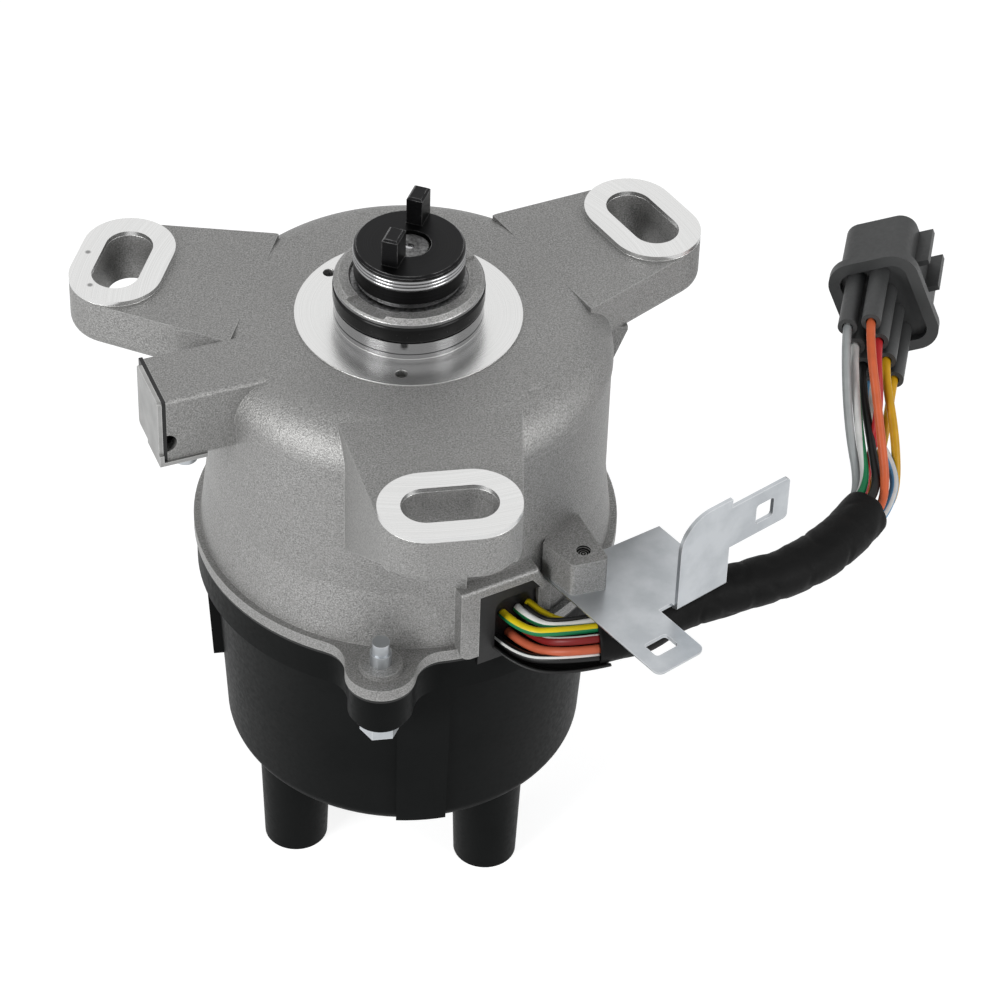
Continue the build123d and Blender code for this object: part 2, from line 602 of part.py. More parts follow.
with BuildPart() as housing:
    # Turned outside of the pot
    with BuildSketch(Plane.XZ):
        with BuildLine():
            Line((0, -ROOF_DROP), (BODY_R - SHOULDER_R, -ROOF_DROP))
            RadiusArc((BODY_R - SHOULDER_R, -ROOF_DROP), (BODY_R, -ROOF_DROP - SHOULDER_R), SHOULDER_R)
            Polyline(
                (BODY_R, -ROOF_DROP - SHOULDER_R), (BODY_R, PARTING_Z), (LOWER_BODY_R, PARTING_Z),
                (LOWER_BODY_R, FLARE_Z), (FLANGE_R - FLANGE_STEP, FLANGE_TOP_Z), (FLANGE_R, FLANGE_TOP_Z),
                (FLANGE_R, FLANGE_Z), (0, FLANGE_Z), (0, -ROOF_DROP),
            )
        make_face()
    revolve(axis=Axis.Z)
    for ear in ears:
        add(ear)
    add(front_web)
    # Flared gussets under the two side arms
    for angle in EAR_ANGLES[1:]:
        with BuildSketch(Plane.XZ.rotated((0, 0, angle - GUSSET_HALF_ARC))):
            with BuildLine():
                Polyline(
                    (CAVITY_R + 1, -EAR_THICK + 1), (GUSSET_R, -EAR_THICK + 1), (GUSSET_R, -EAR_THICK),
                    (LOWER_BODY_R - 0.4, -GUSSET_DROP), (CAVITY_R + 1, -GUSSET_DROP), close=True,
                )
            make_face()
        revolve(axis=Axis.Z, revolution_arc=2 * GUSSET_HALF_ARC)
    # Flat web below the front ear
    slope = tan(radians(WEB_FACE_ANGLE))
    web_left_y = -sqrt(LOWER_BODY_R**2 - WEB_LEFT_X**2)
    with BuildSketch(Plane.XY.offset(FLANGE_Z)):
        with BuildLine():
            Polyline(
                (WEB_LEFT_X, web_left_y), (WEB_RIGHT_X, web_left_y + slope * (WEB_RIGHT_X - WEB_LEFT_X)),
                (WEB_RIGHT_X, -CAVITY_R - 1), (WEB_LEFT_X, -CAVITY_R - 0.5), close=True,
            )
        make_face()
    extrude(amount=WEB_TOP_Z - FLANGE_Z)
    # Flange with lugs and spot-faced bosses
    with BuildSketch(Plane.XY.offset(FLANGE_Z)) as flange:
        flange_outline(0)
        fillet(flange.vertices(), LUG_BLEND_R)
    extrude(amount=FLANGE_TOP_Z - FLANGE_Z)
    with BuildSketch(Plane.XY.offset(FLANGE_TOP_Z)):
        for angle in LUG_ANGLES:
            with Locations(polar(LUG_R, angle)):
                Circle(SPOT_BOSS_R)
    extrude(amount=SPOT_BOSS_RAISE)
    add(hood)
    # Boss for the lead bracket
    with BuildSketch(Plane.XY.offset(PLATE_Z)) as boss:
        with BuildLine():
            Polyline(BOSS_CORNERS[0], polar(CAVITY_R + 1.5, -48), *BOSS_CORNERS[1:], close=True)
        make_face()
        fillet(boss.vertices().sort_by(Axis.Y)[0:2], BOSS_EDGE_R)
    extrude(amount=BOSS_TOP_Z - PLATE_Z)
    # Side chamber block
    add(chamber_block)
    # Hollow inside with the bearing tube left standing
    with BuildSketch(Plane.XZ):
        with BuildLine():
            Polyline(
                (CAVITY_R, FLANGE_Z), (CAVITY_R, -ROOF_WALL - CAVITY_CORNER),
                (CAVITY_R - CAVITY_CORNER, -ROOF_WALL),
                (HUB_R, -ROOF_WALL), (HUB_R, HUB_BLEND_Z), (HUB_FOOT_R, HUB_BLEND_Z - HUB_BLEND_DROP),
                (HUB_FOOT_R, HUB_FOOT_Z), (0, HUB_FOOT_Z), (0, FLANGE_Z), close=True,
            )
        make_face()
    revolve(axis=Axis.Z, mode=Mode.SUBTRACT)
    # Seat of the leak cover in the mouth
    with BuildSketch(Plane.XY.offset(FLANGE_Z)):
        Circle(LEAK_R + LEAK_GAP)
    extrude(amount=LEAK_THICK, mode=Mode.SUBTRACT)
    # Machined ring, spigot and its grooves
    with BuildSketch(Plane.XZ):
        with BuildLine():
            Polyline(
                (SHAFT_BODY_R + 2, -ROOF_WALL), (RING_R, -ROOF_WALL), (RING_R, 0), (SPIGOT_R, 0),
                (SPIGOT_R, SPIGOT_LINE_Z), (SPIGOT_R - SPIGOT_LINE, SPIGOT_LINE_Z),
                (SPIGOT_R - SPIGOT_LINE, SPIGOT_LINE_Z + SPIGOT_LINE),
                (SPIGOT_R, SPIGOT_LINE_Z + SPIGOT_LINE),
                (SPIGOT_R, O_RING_LOW_Z),
                (SPIGOT_R - O_RING_DEPTH, O_RING_LOW_Z), (SPIGOT_R - O_RING_DEPTH, O_RING_HIGH_Z),
                (SPIGOT_R, O_RING_HIGH_Z),
                (SPIGOT_R, SPIGOT_TOP_Z - RIM_CHAMFER), (SPIGOT_R - RIM_CHAMFER, SPIGOT_TOP_Z),
                (SHAFT_BODY_R + 2, SPIGOT_TOP_Z), close=True,
            )
        make_face()
    revolve(axis=Axis.Z)
    # Bores for bearing, seal, shaft and bush
    with BuildSketch(Plane.XZ):
        with BuildLine():
            Polyline(
                (0, SPIGOT_TOP_Z), (BEARING_R + SEAL_LEAD_IN, SPIGOT_TOP_Z),
                (BEARING_R, SPIGOT_TOP_Z - 2 * SEAL_LEAD_IN),
                (BEARING_R, SEAL_FOOT_Z), (SNAP_GROOVE_R, SEAL_FOOT_Z), (SNAP_GROOVE_R, BEARING_TOP_Z),
                (BEARING_R, BEARING_TOP_Z), (BEARING_R, BEARING_FOOT_Z), (SHOULDER_BORE_R, BEARING_FOOT_Z),
                (SHOULDER_BORE_R, BEARING_FOOT_Z - SHOULDER_DEPTH),
                (BUSH_R, BEARING_FOOT_Z - SHOULDER_DEPTH - SHOULDER_TAPER),
                (BUSH_R, HUB_FOOT_Z), (0, HUB_FOOT_Z), close=True,
            )
        make_face()
    revolve(axis=Axis.Z, mode=Mode.SUBTRACT)
    with BuildSketch(turned(RIM_SLOT_ANGLE, SPIGOT_TOP_Z - RIM_SLOT_DEPTH)):
        with Locations((0, RIM_SLOT_OFFSET)):
            Rectangle(2 * SPIGOT_R + 2, RIM_SLOT_WIDTH)
    extrude(amount=RIM_SLOT_DEPTH, mode=Mode.SUBTRACT)
    with Locations(*[(x, y, 0) for x, y in RING_DRILLINGS]):
        Hole(DRILLING_R, DRILLING_DEPTH)
    # Posts for the sensor plate, coil, igniter and condenser, down from the roof
    posts = [(spot, PLATE_TOP_Z) for spot in sensor_spots]
    posts += [(spot, COIL_CORE_TOP_Z) for spot in coil_spots]
    posts += [(spot, IGNITER_TOP_Z) for spot in igniter_spots]
    posts += [(spot, CONDENSER_TOP_Z) for spot in condenser_spots]
    for (x, y), foot_z in posts:
        with BuildSketch(Plane.XY.offset(foot_z)):
            with Locations((x, y)):
                Circle(PLATE_POST_R)
        extrude(amount=-ROOF_WALL - foot_z + 0.5)
        with BuildSketch(Plane.XY.offset(foot_z)):
            with Locations((x, y)):
                Circle(SMALL_SCREW_R)
        extrude(amount=SMALL_HOLE_DEPTH, mode=Mode.SUBTRACT)
    # Window opening through the wall
    window_plane = facing(WINDOW_ANGLE, HOOD_ROOT - 2)
    with BuildSketch(window_plane):
        window_outline(0, FLANGE_Z)
    extrude(amount=2 * (WINDOW_DIST - HOOD_ROOT), mode=Mode.SUBTRACT)
    # Room under the hood's right end, where the leads turn off
    with BuildSketch(window_plane.offset(LEAD_ROOM_DIST - HOOD_ROOT + 2)):
        with BuildLine():
            Polyline(
                (WINDOW_RIGHT - 0.5, FLANGE_TOP_Z), (WINDOW_RIGHT - 0.5, PLATE_Z), (HOOD_RIGHT + 1, PLATE_Z),
                (HOOD_RIGHT + 1, FLANGE_TOP_Z), close=True,
            )
        make_face()
    extrude(amount=WINDOW_DIST - LEAD_ROOM_DIST + 1, mode=Mode.SUBTRACT)
    # Seat of the lead bracket's plate
    with BuildSketch(turned(BRACKET_ANGLE, PLATE_Z)):
        plate_outline(PLATE_GAP)
    extrude(amount=-SHEET - SEAT_FIT, mode=Mode.SUBTRACT)
    # Chamber hollow, open at its end, with a half-round vent and the cover screw's hole
    with BuildSketch(chamber_plane.offset(-CHAMBER_WALL)):
        with Locations((-CHAMBER_DEPTH / 2, 0)):
            Rectangle(CHAMBER_DEPTH, CHAMBER_WIDTH - 2 * CHAMBER_WALL)
    extrude(amount=-(CHAMBER_HEIGHT - 2 * CHAMBER_WALL), mode=Mode.SUBTRACT)
    vent_spot = chamber_plane.from_local_coords((0, 0, -CHAMBER_HEIGHT + VENT_RAISE))
    vent_axis = (-chamber_axis[1], chamber_axis[0], 0)
    with BuildSketch(Plane(origin=vent_spot, x_dir=chamber_axis, z_dir=vent_axis)):
        Circle(VENT_R)
    extrude(amount=CHAMBER_WIDTH, mode=Mode.SUBTRACT)
    screw_spot = chamber_plane.from_local_coords((*SIDE_SCREW, -CHAMBER_HEIGHT))
    with BuildSketch(Plane(origin=screw_spot, z_dir=(0, 0, 1))):
        Circle(SMALL_SCREW_R)
    extrude(amount=SMALL_HOLE_DEPTH, mode=Mode.SUBTRACT)
    # Ear pads and slots, lug holes and the boss's tapped hole
    for index in range(3):
        with BuildSketch(turned(EAR_ANGLES[index], -ROOF_DROP)):
            with Locations((EAR_RADII[index], 0)):
                SlotOverall(PAD_LENGTH, PAD_WIDTH, rotation=90)
        extrude(amount=PAD_RAISE + ROOF_DROP)
        with BuildSketch(turned(EAR_ANGLES[index], PAD_RAISE)):
            with Locations((EAR_RADII[index], 0)):
                SlotOverall(SLOT_LENGTH, SLOT_WIDTH, rotation=90)
        extrude(amount=-(PAD_RAISE + FRONT_WEB_DROP), mode=Mode.SUBTRACT)
    with Locations(*[(*polar(LUG_R, a), FLANGE_TOP_Z + SPOT_BOSS_RAISE) for a in LUG_ANGLES]):
        Hole(SCREW_HOLE_R, FLANGE_TOP_Z + SPOT_BOSS_RAISE - FLANGE_Z)
    with Locations((*BOSS_HOLE, BOSS_TOP_Z)):
        Hole(BOSS_HOLE_R, BOSS_TOP_Z - PLATE_Z)
finish(housing, "housing")

# Rubber ring in the spigot's groove
o_ring_thick = O_RING_DEPTH + O_RING_PROUD - 2 * SEAT_FIT
o_ring_height = O_RING_HIGH_Z - O_RING_LOW_Z - 2 * SEAT_FIT
with BuildPart() as o_ring:
    with BuildSketch(Plane.XZ):
        with Locations((SPIGOT_R + (O_RING_PROUD - O_RING_DEPTH) / 2, (O_RING_LOW_Z + O_RING_HIGH_Z) / 2)):
            RectangleRounded(o_ring_thick, o_ring_height, O_RING_ROUND)
    revolve(axis=Axis.Z)
finish(o_ring, "spigot_o_ring")

# Lip seal above the bearing, and the snap ring that holds the bearing
with BuildPart() as seal:
    with BuildSketch(Plane.XZ):
        with BuildLine():
            Polyline(
                (BEARING_R - SEAT_FIT, SEAL_FOOT_Z + SEAT_FIT), (BEARING_R - SEAT_FIT, SEAL_TOP_Z),
                (SLEEVE_R + SEAL_LIP, SEAL_TOP_Z), (SLEEVE_R + RUNNING_FIT, SEAL_TOP_Z - 1),
                (SLEEVE_R + RUNNING_FIT, SEAL_TOP_Z - 2), (SLEEVE_R + SEAL_LIP, SEAL_TOP_Z - 3),
                (SLEEVE_R + SEAL_LIP, SEAL_FOOT_Z + SEAT_FIT), close=True,
            )
        make_face()
    revolve(axis=Axis.Z)
finish(seal, "oil_seal")

with BuildPart() as snap_ring:
    with BuildSketch(Plane.XY.offset(BEARING_TOP_Z + SEAT_FIT)):
        Circle(SNAP_GROOVE_R - SEAT_FIT)
        Circle(SNAP_RING_INNER_R, mode=Mode.SUBTRACT)
        with Locations((0, -BEARING_R)):
            Rectangle(SNAP_RING_OPENING, BEARING_R, mode=Mode.SUBTRACT)
    extrude(amount=SNAP_RING_THICK - SEAT_FIT)
finish(snap_ring, "bearing_snap_ring")


# Ball bearing
def race(outer, inner, name):
    """One race: a turned ring with its ball groove."""
    with BuildPart() as piece:
        with BuildSketch(Plane.XZ):
            with Locations(((outer + inner) / 2, BEARING_MID_Z)):
                Rectangle(outer - inner, BEARING_WIDTH)
            with Locations((BALL_CIRCLE_R, BEARING_MID_Z)):
                Circle(BALL_R + RUNNING_FIT, mode=Mode.SUBTRACT)
        revolve(axis=Axis.Z)
    finish(piece, name)


race(BEARING_R - SEAT_FIT, BALL_CIRCLE_R + RACE_DEPTH, "bearing_outer_race")
race(BALL_CIRCLE_R - RACE_DEPTH, SHAFT_R + SEAT_FIT, "bearing_inner_race")

with BuildPart() as balls:
    with Locations((0, 0, BEARING_MID_Z)):
        with PolarLocations(BALL_CIRCLE_R, BALL_COUNT):
            Sphere(BALL_R)
finish(balls, "bearing_balls")

with BuildPart() as cage:
    with BuildSketch(Plane.XY.offset(BEARING_MID_Z - CAGE_HALF_HEIGHT)):
        Circle(BALL_CIRCLE_R + CAGE_HALF_THICK)
        Circle(BALL_CIRCLE_R - CAGE_HALF_THICK, mode=Mode.SUBTRACT)
    extrude(amount=2 * CAGE_HALF_HEIGHT)
    with Locations((0, 0, BEARING_MID_Z)):
        with PolarLocations(BALL_CIRCLE_R, BALL_COUNT):
            Cylinder(BALL_R + RUNNING_FIT, 4 * CAGE_HALF_THICK, rotation=(0, 90, 0), mode=Mode.SUBTRACT)
finish(cage, "bearing_cage")

ring(BUSH_R - SEAT_FIT, SHAFT_BODY_R + RUNNING_FIT, HUB_FOOT_Z, BUSH_TOP_Z, "lower_bush")


# Shaft with its cross pin hole, circlip groove and rotor flat; the pin lies square to the tangs' line
pin_plane = Plane(origin=(0, 0, PIN_Z), z_dir=(-sin(radians(TANG_ANGLE)), cos(radians(TANG_ANGLE)), 0))
with BuildPart() as shaft:
    with BuildSketch(Plane.XZ):
        with BuildLine():
            Polyline(
                (0, SHAFT_LOWER_END_Z), (SHAFT_LOWER_R - SHAFT_CHAMFER, SHAFT_LOWER_END_Z),
                (SHAFT_LOWER_R, SHAFT_LOWER_END_Z + SHAFT_CHAMFER),
                (SHAFT_LOWER_R, RELUCTOR_FOOT_Z - CIRCLIP_THICK),
                (CIRCLIP_GROOVE_R, RELUCTOR_FOOT_Z - CIRCLIP_THICK), (CIRCLIP_GROOVE_R, RELUCTOR_FOOT_Z),
                (SHAFT_LOWER_R, RELUCTOR_FOOT_Z), (SHAFT_LOWER_R, RELUCTOR_TOP_Z),
                (SHAFT_BODY_R, RELUCTOR_TOP_Z),
                (SHAFT_BODY_R, BEARING_FOOT_Z), (SHAFT_R, BEARING_FOOT_Z), (SHAFT_R, COUPLING_FOOT_Z),
                (COUPLING_BORE_R - SEAT_FIT, COUPLING_FOOT_Z),
                (COUPLING_BORE_R - SEAT_FIT, SHAFT_TOP_Z - SHAFT_CHAMFER),
                (COUPLING_BORE_R - SHAFT_CHAMFER, SHAFT_TOP_Z), (0, SHAFT_TOP_Z), close=True,
            )
        make_face()
    revolve(axis=Axis.Z)
    with BuildSketch(turned(ROTOR_ANGLE, SHAFT_LOWER_END_Z)):
        with Locations((-SHAFT_LOWER_R - SHAFT_LOWER_R + SHAFT_FLAT, 0)):
            Rectangle(2 * SHAFT_LOWER_R, 3 * SHAFT_LOWER_R)
    extrude(amount=ROTOR_TOP_Z - SHAFT_LOWER_END_Z, mode=Mode.SUBTRACT)
    with BuildSketch(pin_plane):
        Circle(PIN_R + SEAT_FIT)
    extrude(amount=COUPLING_R, both=True, mode=Mode.SUBTRACT)
    with Locations((0, 0, SHAFT_TOP_Z)):
        Hole(CENTRE_HOLE_R, CENTRE_HOLE_DEPTH)
finish(shaft, "drive_shaft")

ring(SLEEVE_R, SHAFT_R + SEAT_FIT, BEARING_TOP_Z, WASHER_FOOT_Z, "spacer_sleeve")
ring(COUPLING_R - WASHER_INSET, SHAFT_R + SEAT_FIT, WASHER_FOOT_Z, COUPLING_FOOT_Z, "coupling_washer")

# Drive coupling: a turned ring with two tangs set off the centre line
with BuildPart() as coupling:
    with BuildSketch(Plane.XZ):
        with BuildLine():
            Polyline(
                (COUPLING_BORE_R, COUPLING_FOOT_Z), (COUPLING_R - COUPLING_CHAMFER, COUPLING_FOOT_Z),
                (COUPLING_R, COUPLING_FOOT_Z + COUPLING_CHAMFER), (COUPLING_R, SPRING_FOOT_Z),
                (SPRING_GROOVE_R, SPRING_FOOT_Z), (SPRING_GROOVE_R, SPRING_TOP_Z),
                (COUPLING_R, SPRING_TOP_Z), (COUPLING_R, COUPLING_TOP_Z - COUPLING_CHAMFER),
                (COUPLING_R - COUPLING_CHAMFER, COUPLING_TOP_Z),
                (COUPLING_BORE_R, COUPLING_TOP_Z), close=True,
            )
        make_face()
    revolve(axis=Axis.Z)
    for place in TANG_PLACES:
        with BuildSketch(turned(TANG_ANGLE, COUPLING_TOP_Z - COUPLING_CHAMFER)):
            with Locations((place, TANG_OFFSET)):
                Rectangle(TANG_LENGTH, TANG_WIDTH)
        extrude(amount=TANG_TOP_Z - COUPLING_TOP_Z + COUPLING_CHAMFER)
    chamfer(coupling.faces().filter_by(Axis.Z).group_by(Axis.Z)[-1].edges(), TANG_CHAMFER)
    with BuildSketch(pin_plane):
        Circle(PIN_R + SEAT_FIT)
    extrude(amount=COUPLING_R + 1, both=True, mode=Mode.SUBTRACT)
finish(coupling, "drive_coupling")

with BuildPart() as pin:
    with BuildSketch(pin_plane):
        Circle(PIN_R)
    extrude(amount=PIN_END_R, both=True)
finish(pin, "coupling_pin")

# Ring spring that keeps the pin in: three turns of wire lying against each other
with BuildPart() as ring_spring:
    with BuildSketch(Plane.XZ):
        for turn in range(SPRING_TURNS):
            height = SPRING_FOOT_Z + SPRING_WIRE_R + SEAT_FIT + turn * SPRING_WIRE_PITCH
            with Locations((SPRING_GROOVE_R + SPRING_WIRE_R + SEAT_FIT, height)):
                Circle(SPRING_WIRE_R)
    revolve(axis=Axis.Z)
finish(ring_spring, "coupling_spring")

# Three toothed wheels on the shaft and their circlip
for index, (name, count, tooth_width) in enumerate(RELUCTORS):
    top_z = RELUCTOR_TOP_Z - index * RELUCTOR_PITCH
    with BuildPart() as wheel:
        with BuildSketch(Plane.XY.offset(top_z - RELUCTOR_PLATE)):
            Circle(RELUCTOR_BASE_R)
            with PolarLocations((RELUCTOR_HUB_R + RELUCTOR_TIP_R) / 2, count):
                Rectangle(RELUCTOR_TIP_R - RELUCTOR_HUB_R, tooth_width)
        extrude(amount=RELUCTOR_PLATE)
        with BuildSketch(Plane.XY.offset(top_z - RELUCTOR_PITCH)):
            Circle(RELUCTOR_HUB_R)
        extrude(amount=RELUCTOR_PITCH - RELUCTOR_PLATE)
        with Locations((0, 0, top_z)):
            Hole(SHAFT_LOWER_R + SEAT_FIT)
    finish(wheel, name)

with BuildPart() as circlip:
    with BuildSketch(Plane.XY.offset(RELUCTOR_FOOT_Z - CIRCLIP_THICK + SEAT_FIT)):
        Circle(CIRCLIP_R)
        Circle(CIRCLIP_GROOVE_R + SEAT_FIT, mode=Mode.SUBTRACT)
        with Locations((0, CIRCLIP_R / 2)):
            Rectangle(CIRCLIP_GROOVE_R, CIRCLIP_R, mode=Mode.SUBTRACT)
    extrude(amount=CIRCLIP_THICK - 2 * SEAT_FIT)
finish(circlip, "shaft_circlip")


# Small screws: a group's heads and shanks, driven upwards into the posts
def small_screws(spots, under_z, grip, name):
    """Small pan-head screws whose heads bear upwards at a height."""
    with BuildPart() as piece:
        for spot in spots:
            with BuildSketch(Plane.XY.offset(under_z - SMALL_HEAD)):
                with Locations(spot):
                    Circle(SMALL_HEAD_R)
            extrude(amount=SMALL_HEAD)
            with BuildSketch(Plane.XY.offset(under_z)):
                with Locations(spot):
                    Circle(SMALL_SCREW_R - SEAT_FIT)
            extrude(amount=grip + SMALL_SCREW_BITE)
        fillet(piece.edges().group_by(Axis.Z)[0], SMALL_HEAD / 3)
    finish(piece, name)


def screw_holes(spots, top_z, depth):
    """Clearance holes for the small screws; a part's content."""
    with Locations(*[(*spot, top_z) for spot in spots]):
        Hole(SMALL_SCREW_R + RUNNING_FIT, depth)


# Sensor plate: a sector of sheet with the three pickups under it
with BuildPart() as sensor_plate:
    with BuildSketch(turned(PLATE_START, PLATE_FOOT_Z)):
        with BuildLine():
            CenterArc((0, 0), PLATE_OUTER_R, 0, PLATE_ARC)
            Line(polar(PLATE_OUTER_R, PLATE_ARC), polar(PLATE_INNER_R, PLATE_ARC))
            CenterArc((0, 0), PLATE_INNER_R, 0, PLATE_ARC)
            Line((PLATE_INNER_R, 0), (PLATE_OUTER_R, 0))
        make_face()
    extrude(amount=PLATE_THICK)
    screw_holes(sensor_spots, PLATE_TOP_Z, PLATE_THICK)
finish(sensor_plate, "sensor_plate")
small_screws(sensor_spots, PLATE_FOOT_Z, PLATE_THICK, "sensor_screws")

for index, name in enumerate(PICKUP_NAMES):
    pole_z = RELUCTOR_TOP_Z - index * RELUCTOR_PITCH - RELUCTOR_PLATE / 2
    with BuildPart() as pickup:
        with BuildSketch(turned(PICKUP_ANGLES[index], PLATE_FOOT_Z)):
            with Locations((PICKUP_INNER_R + PICKUP_LENGTH / 2, 0)):
                RectangleRounded(PICKUP_LENGTH, PICKUP_WIDTH, PICKUP_POLE / 2)
        extrude(amount=pole_z - PLATE_FOOT_Z - PICKUP_POLE)
        with BuildSketch(turned(PICKUP_ANGLES[index], pole_z - PICKUP_POLE / 2)):
            with Locations(((RELUCTOR_TIP_R + PICKUP_GAP + PICKUP_INNER_R + 1) / 2, 0)):
                Rectangle(PICKUP_INNER_R + 1 - RELUCTOR_TIP_R - PICKUP_GAP, PICKUP_POLE)
        extrude(amount=PICKUP_POLE)
    finish(pickup, name)

# Ignition coil: a laminated frame with the moulded winding through its window
coil_core_foot_z = COIL_CORE_TOP_Z - COIL_CORE_HEIGHT
with BuildPart() as coil_core:
    with BuildSketch(turned(COIL_ANGLE, COIL_CORE_TOP_Z)):
        with Locations((COIL_CENTRE_R, 0)):
            Rectangle(COIL_SIZE[0], COIL_SIZE[1])
            Rectangle(COIL_SIZE[0] - 2 * COIL_CORE_LIMB, COIL_SIZE[1] - 2 * COIL_CORE_LIMB,
                      mode=Mode.SUBTRACT)
    extrude(amount=-COIL_CORE_HEIGHT)
    screw_holes(coil_spots, COIL_CORE_TOP_Z, COIL_CORE_HEIGHT)
finish(coil_core, "coil_core")
small_screws(coil_spots, coil_core_foot_z, COIL_CORE_HEIGHT, "coil_screws")

with BuildPart() as coil:
    with BuildSketch(turned(COIL_ANGLE, coil_core_foot_z)):
        with Locations((COIL_CENTRE_R, 0)):
            RectangleRounded(COIL_SIZE[0] - 2 * COIL_CORE_LIMB - 2 * SEAT_FIT,
                             COIL_SIZE[1] - 2 * COIL_CORE_LIMB - 2 * SEAT_FIT, COIL_CASE_GAP)
    extrude(amount=COIL_CORE_HEIGHT)
    for low_z, height in ((COIL_CORE_TOP_Z, COIL_CORE_DROP), (COIL_TOP_Z - COIL_SIZE[2], COIL_CORE_DROP)):
        with BuildSketch(turned(COIL_ANGLE, low_z)):
            with Locations((COIL_CENTRE_R, 0)):
                RectangleRounded(COIL_SIZE[0] - COIL_CASE_GAP, COIL_SIZE[1] - 3 * COIL_CORE_LIMB,
                                 COIL_CASE_GAP)
        extrude(amount=height)
finish(coil, "ignition_coil")

# Igniter: a finned block with a mounting flange, screwed to two posts
with BuildPart() as igniter:
    with BuildSketch(turned(IGNITER_ANGLE, IGNITER_TOP_Z)):
        with Locations((IGNITER_CENTRE_R, 0)):
            RectangleRounded(IGNITER_SIZE[0], IGNITER_SIZE[1], IGNITER_EDGE_R)
    extrude(amount=-IGNITER_FLANGE)
    with BuildSketch(turned(IGNITER_ANGLE, IGNITER_TOP_Z)):
        with Locations((IGNITER_CENTRE_R, 0)):
            RectangleRounded(IGNITER_SIZE[0], IGNITER_BODY_WIDTH, IGNITER_EDGE_R)
    extrude(amount=-IGNITER_SIZE[2])
    screw_holes(igniter_spots, IGNITER_TOP_Z, IGNITER_FLANGE)
finish(igniter, "igniter_module")
small_screws(igniter_spots, IGNITER_TOP_Z - IGNITER_FLANGE, IGNITER_FLANGE, "igniter_screws")

# Noise condenser: a can held by its strap
with BuildPart() as condenser:
    with BuildSketch(turned(CONDENSER_ANGLE, CONDENSER_TOP_Z)):
        with Locations(((CONDENSER_SCREW_R + CONDENSER_CENTRE_R) / 2, 0)):
            SlotCenterToCenter(CONDENSER_CENTRE_R - CONDENSER_SCREW_R, STRAP_WIDTH)
    extrude(amount=-STRAP_THICK)
    with BuildSketch(turned(CONDENSER_ANGLE, CONDENSER_TOP_Z)):
        with Locations((CONDENSER_CENTRE_R, 0)):
            Circle(CONDENSER_R)
    extrude(amount=-STRAP_THICK - CONDENSER_LENGTH)
    fillet(condenser.edges().group_by(Axis.Z)[0], STRAP_THICK)
    screw_holes(condenser_spots, CONDENSER_TOP_Z, STRAP_THICK)
finish(condenser, "noise_condenser")
small_screws(condenser_spots, CONDENSER_TOP_Z - STRAP_THICK, STRAP_THICK, "condenser_screw")

# Leak cover in the housing's mouth, cut straight at the grommet
with BuildPart() as leak_cover:
    with BuildSketch(turned(WINDOW_ANGLE, FLANGE_Z)):
        Circle(LEAK_R)
        Circle(LEAK_BORE_R, mode=Mode.SUBTRACT)
        with Locations((LEAK_FLAT + LEAK_R, 0)):
            Rectangle(2 * LEAK_R, 2 * LEAK_R, mode=Mode.SUBTRACT)
    extrude(amount=LEAK_THICK)
finish(leak_cover, "leak_cover")


def grommet_notch():
    """The grommet's place in the gasket and the cap's rim; an open sketch's content."""
    with Locations((GROMMET_BACK - NOTCH_GAP + FLANGE_R, (WINDOW_LEFT + WINDOW_RIGHT) / 2)):
        Rectangle(2 * FLANGE_R, WINDOW_RIGHT - WINDOW_LEFT + 2 * NOTCH_GAP)


# Gasket between housing and cap
with BuildPart() as cap_seal:
    with BuildSketch(Plane.XY.offset(CAP_TOP_Z)) as seal_outline:
        flange_outline(GASKET_INSET)
        fillet(seal_outline.vertices(), LUG_BLEND_R)
        Circle(GASKET_INNER_R, mode=Mode.SUBTRACT)
        with Locations(*[polar(LUG_R, a) for a in LUG_ANGLES]):
            Circle(LUG_HOLE_R, mode=Mode.SUBTRACT)
    extrude(amount=GASKET_THICK)
    with BuildSketch(turned(WINDOW_ANGLE, CAP_TOP_Z)):
        grommet_notch()
    extrude(amount=GASKET_THICK, mode=Mode.SUBTRACT)
finish(cap_seal, "cap_seal")

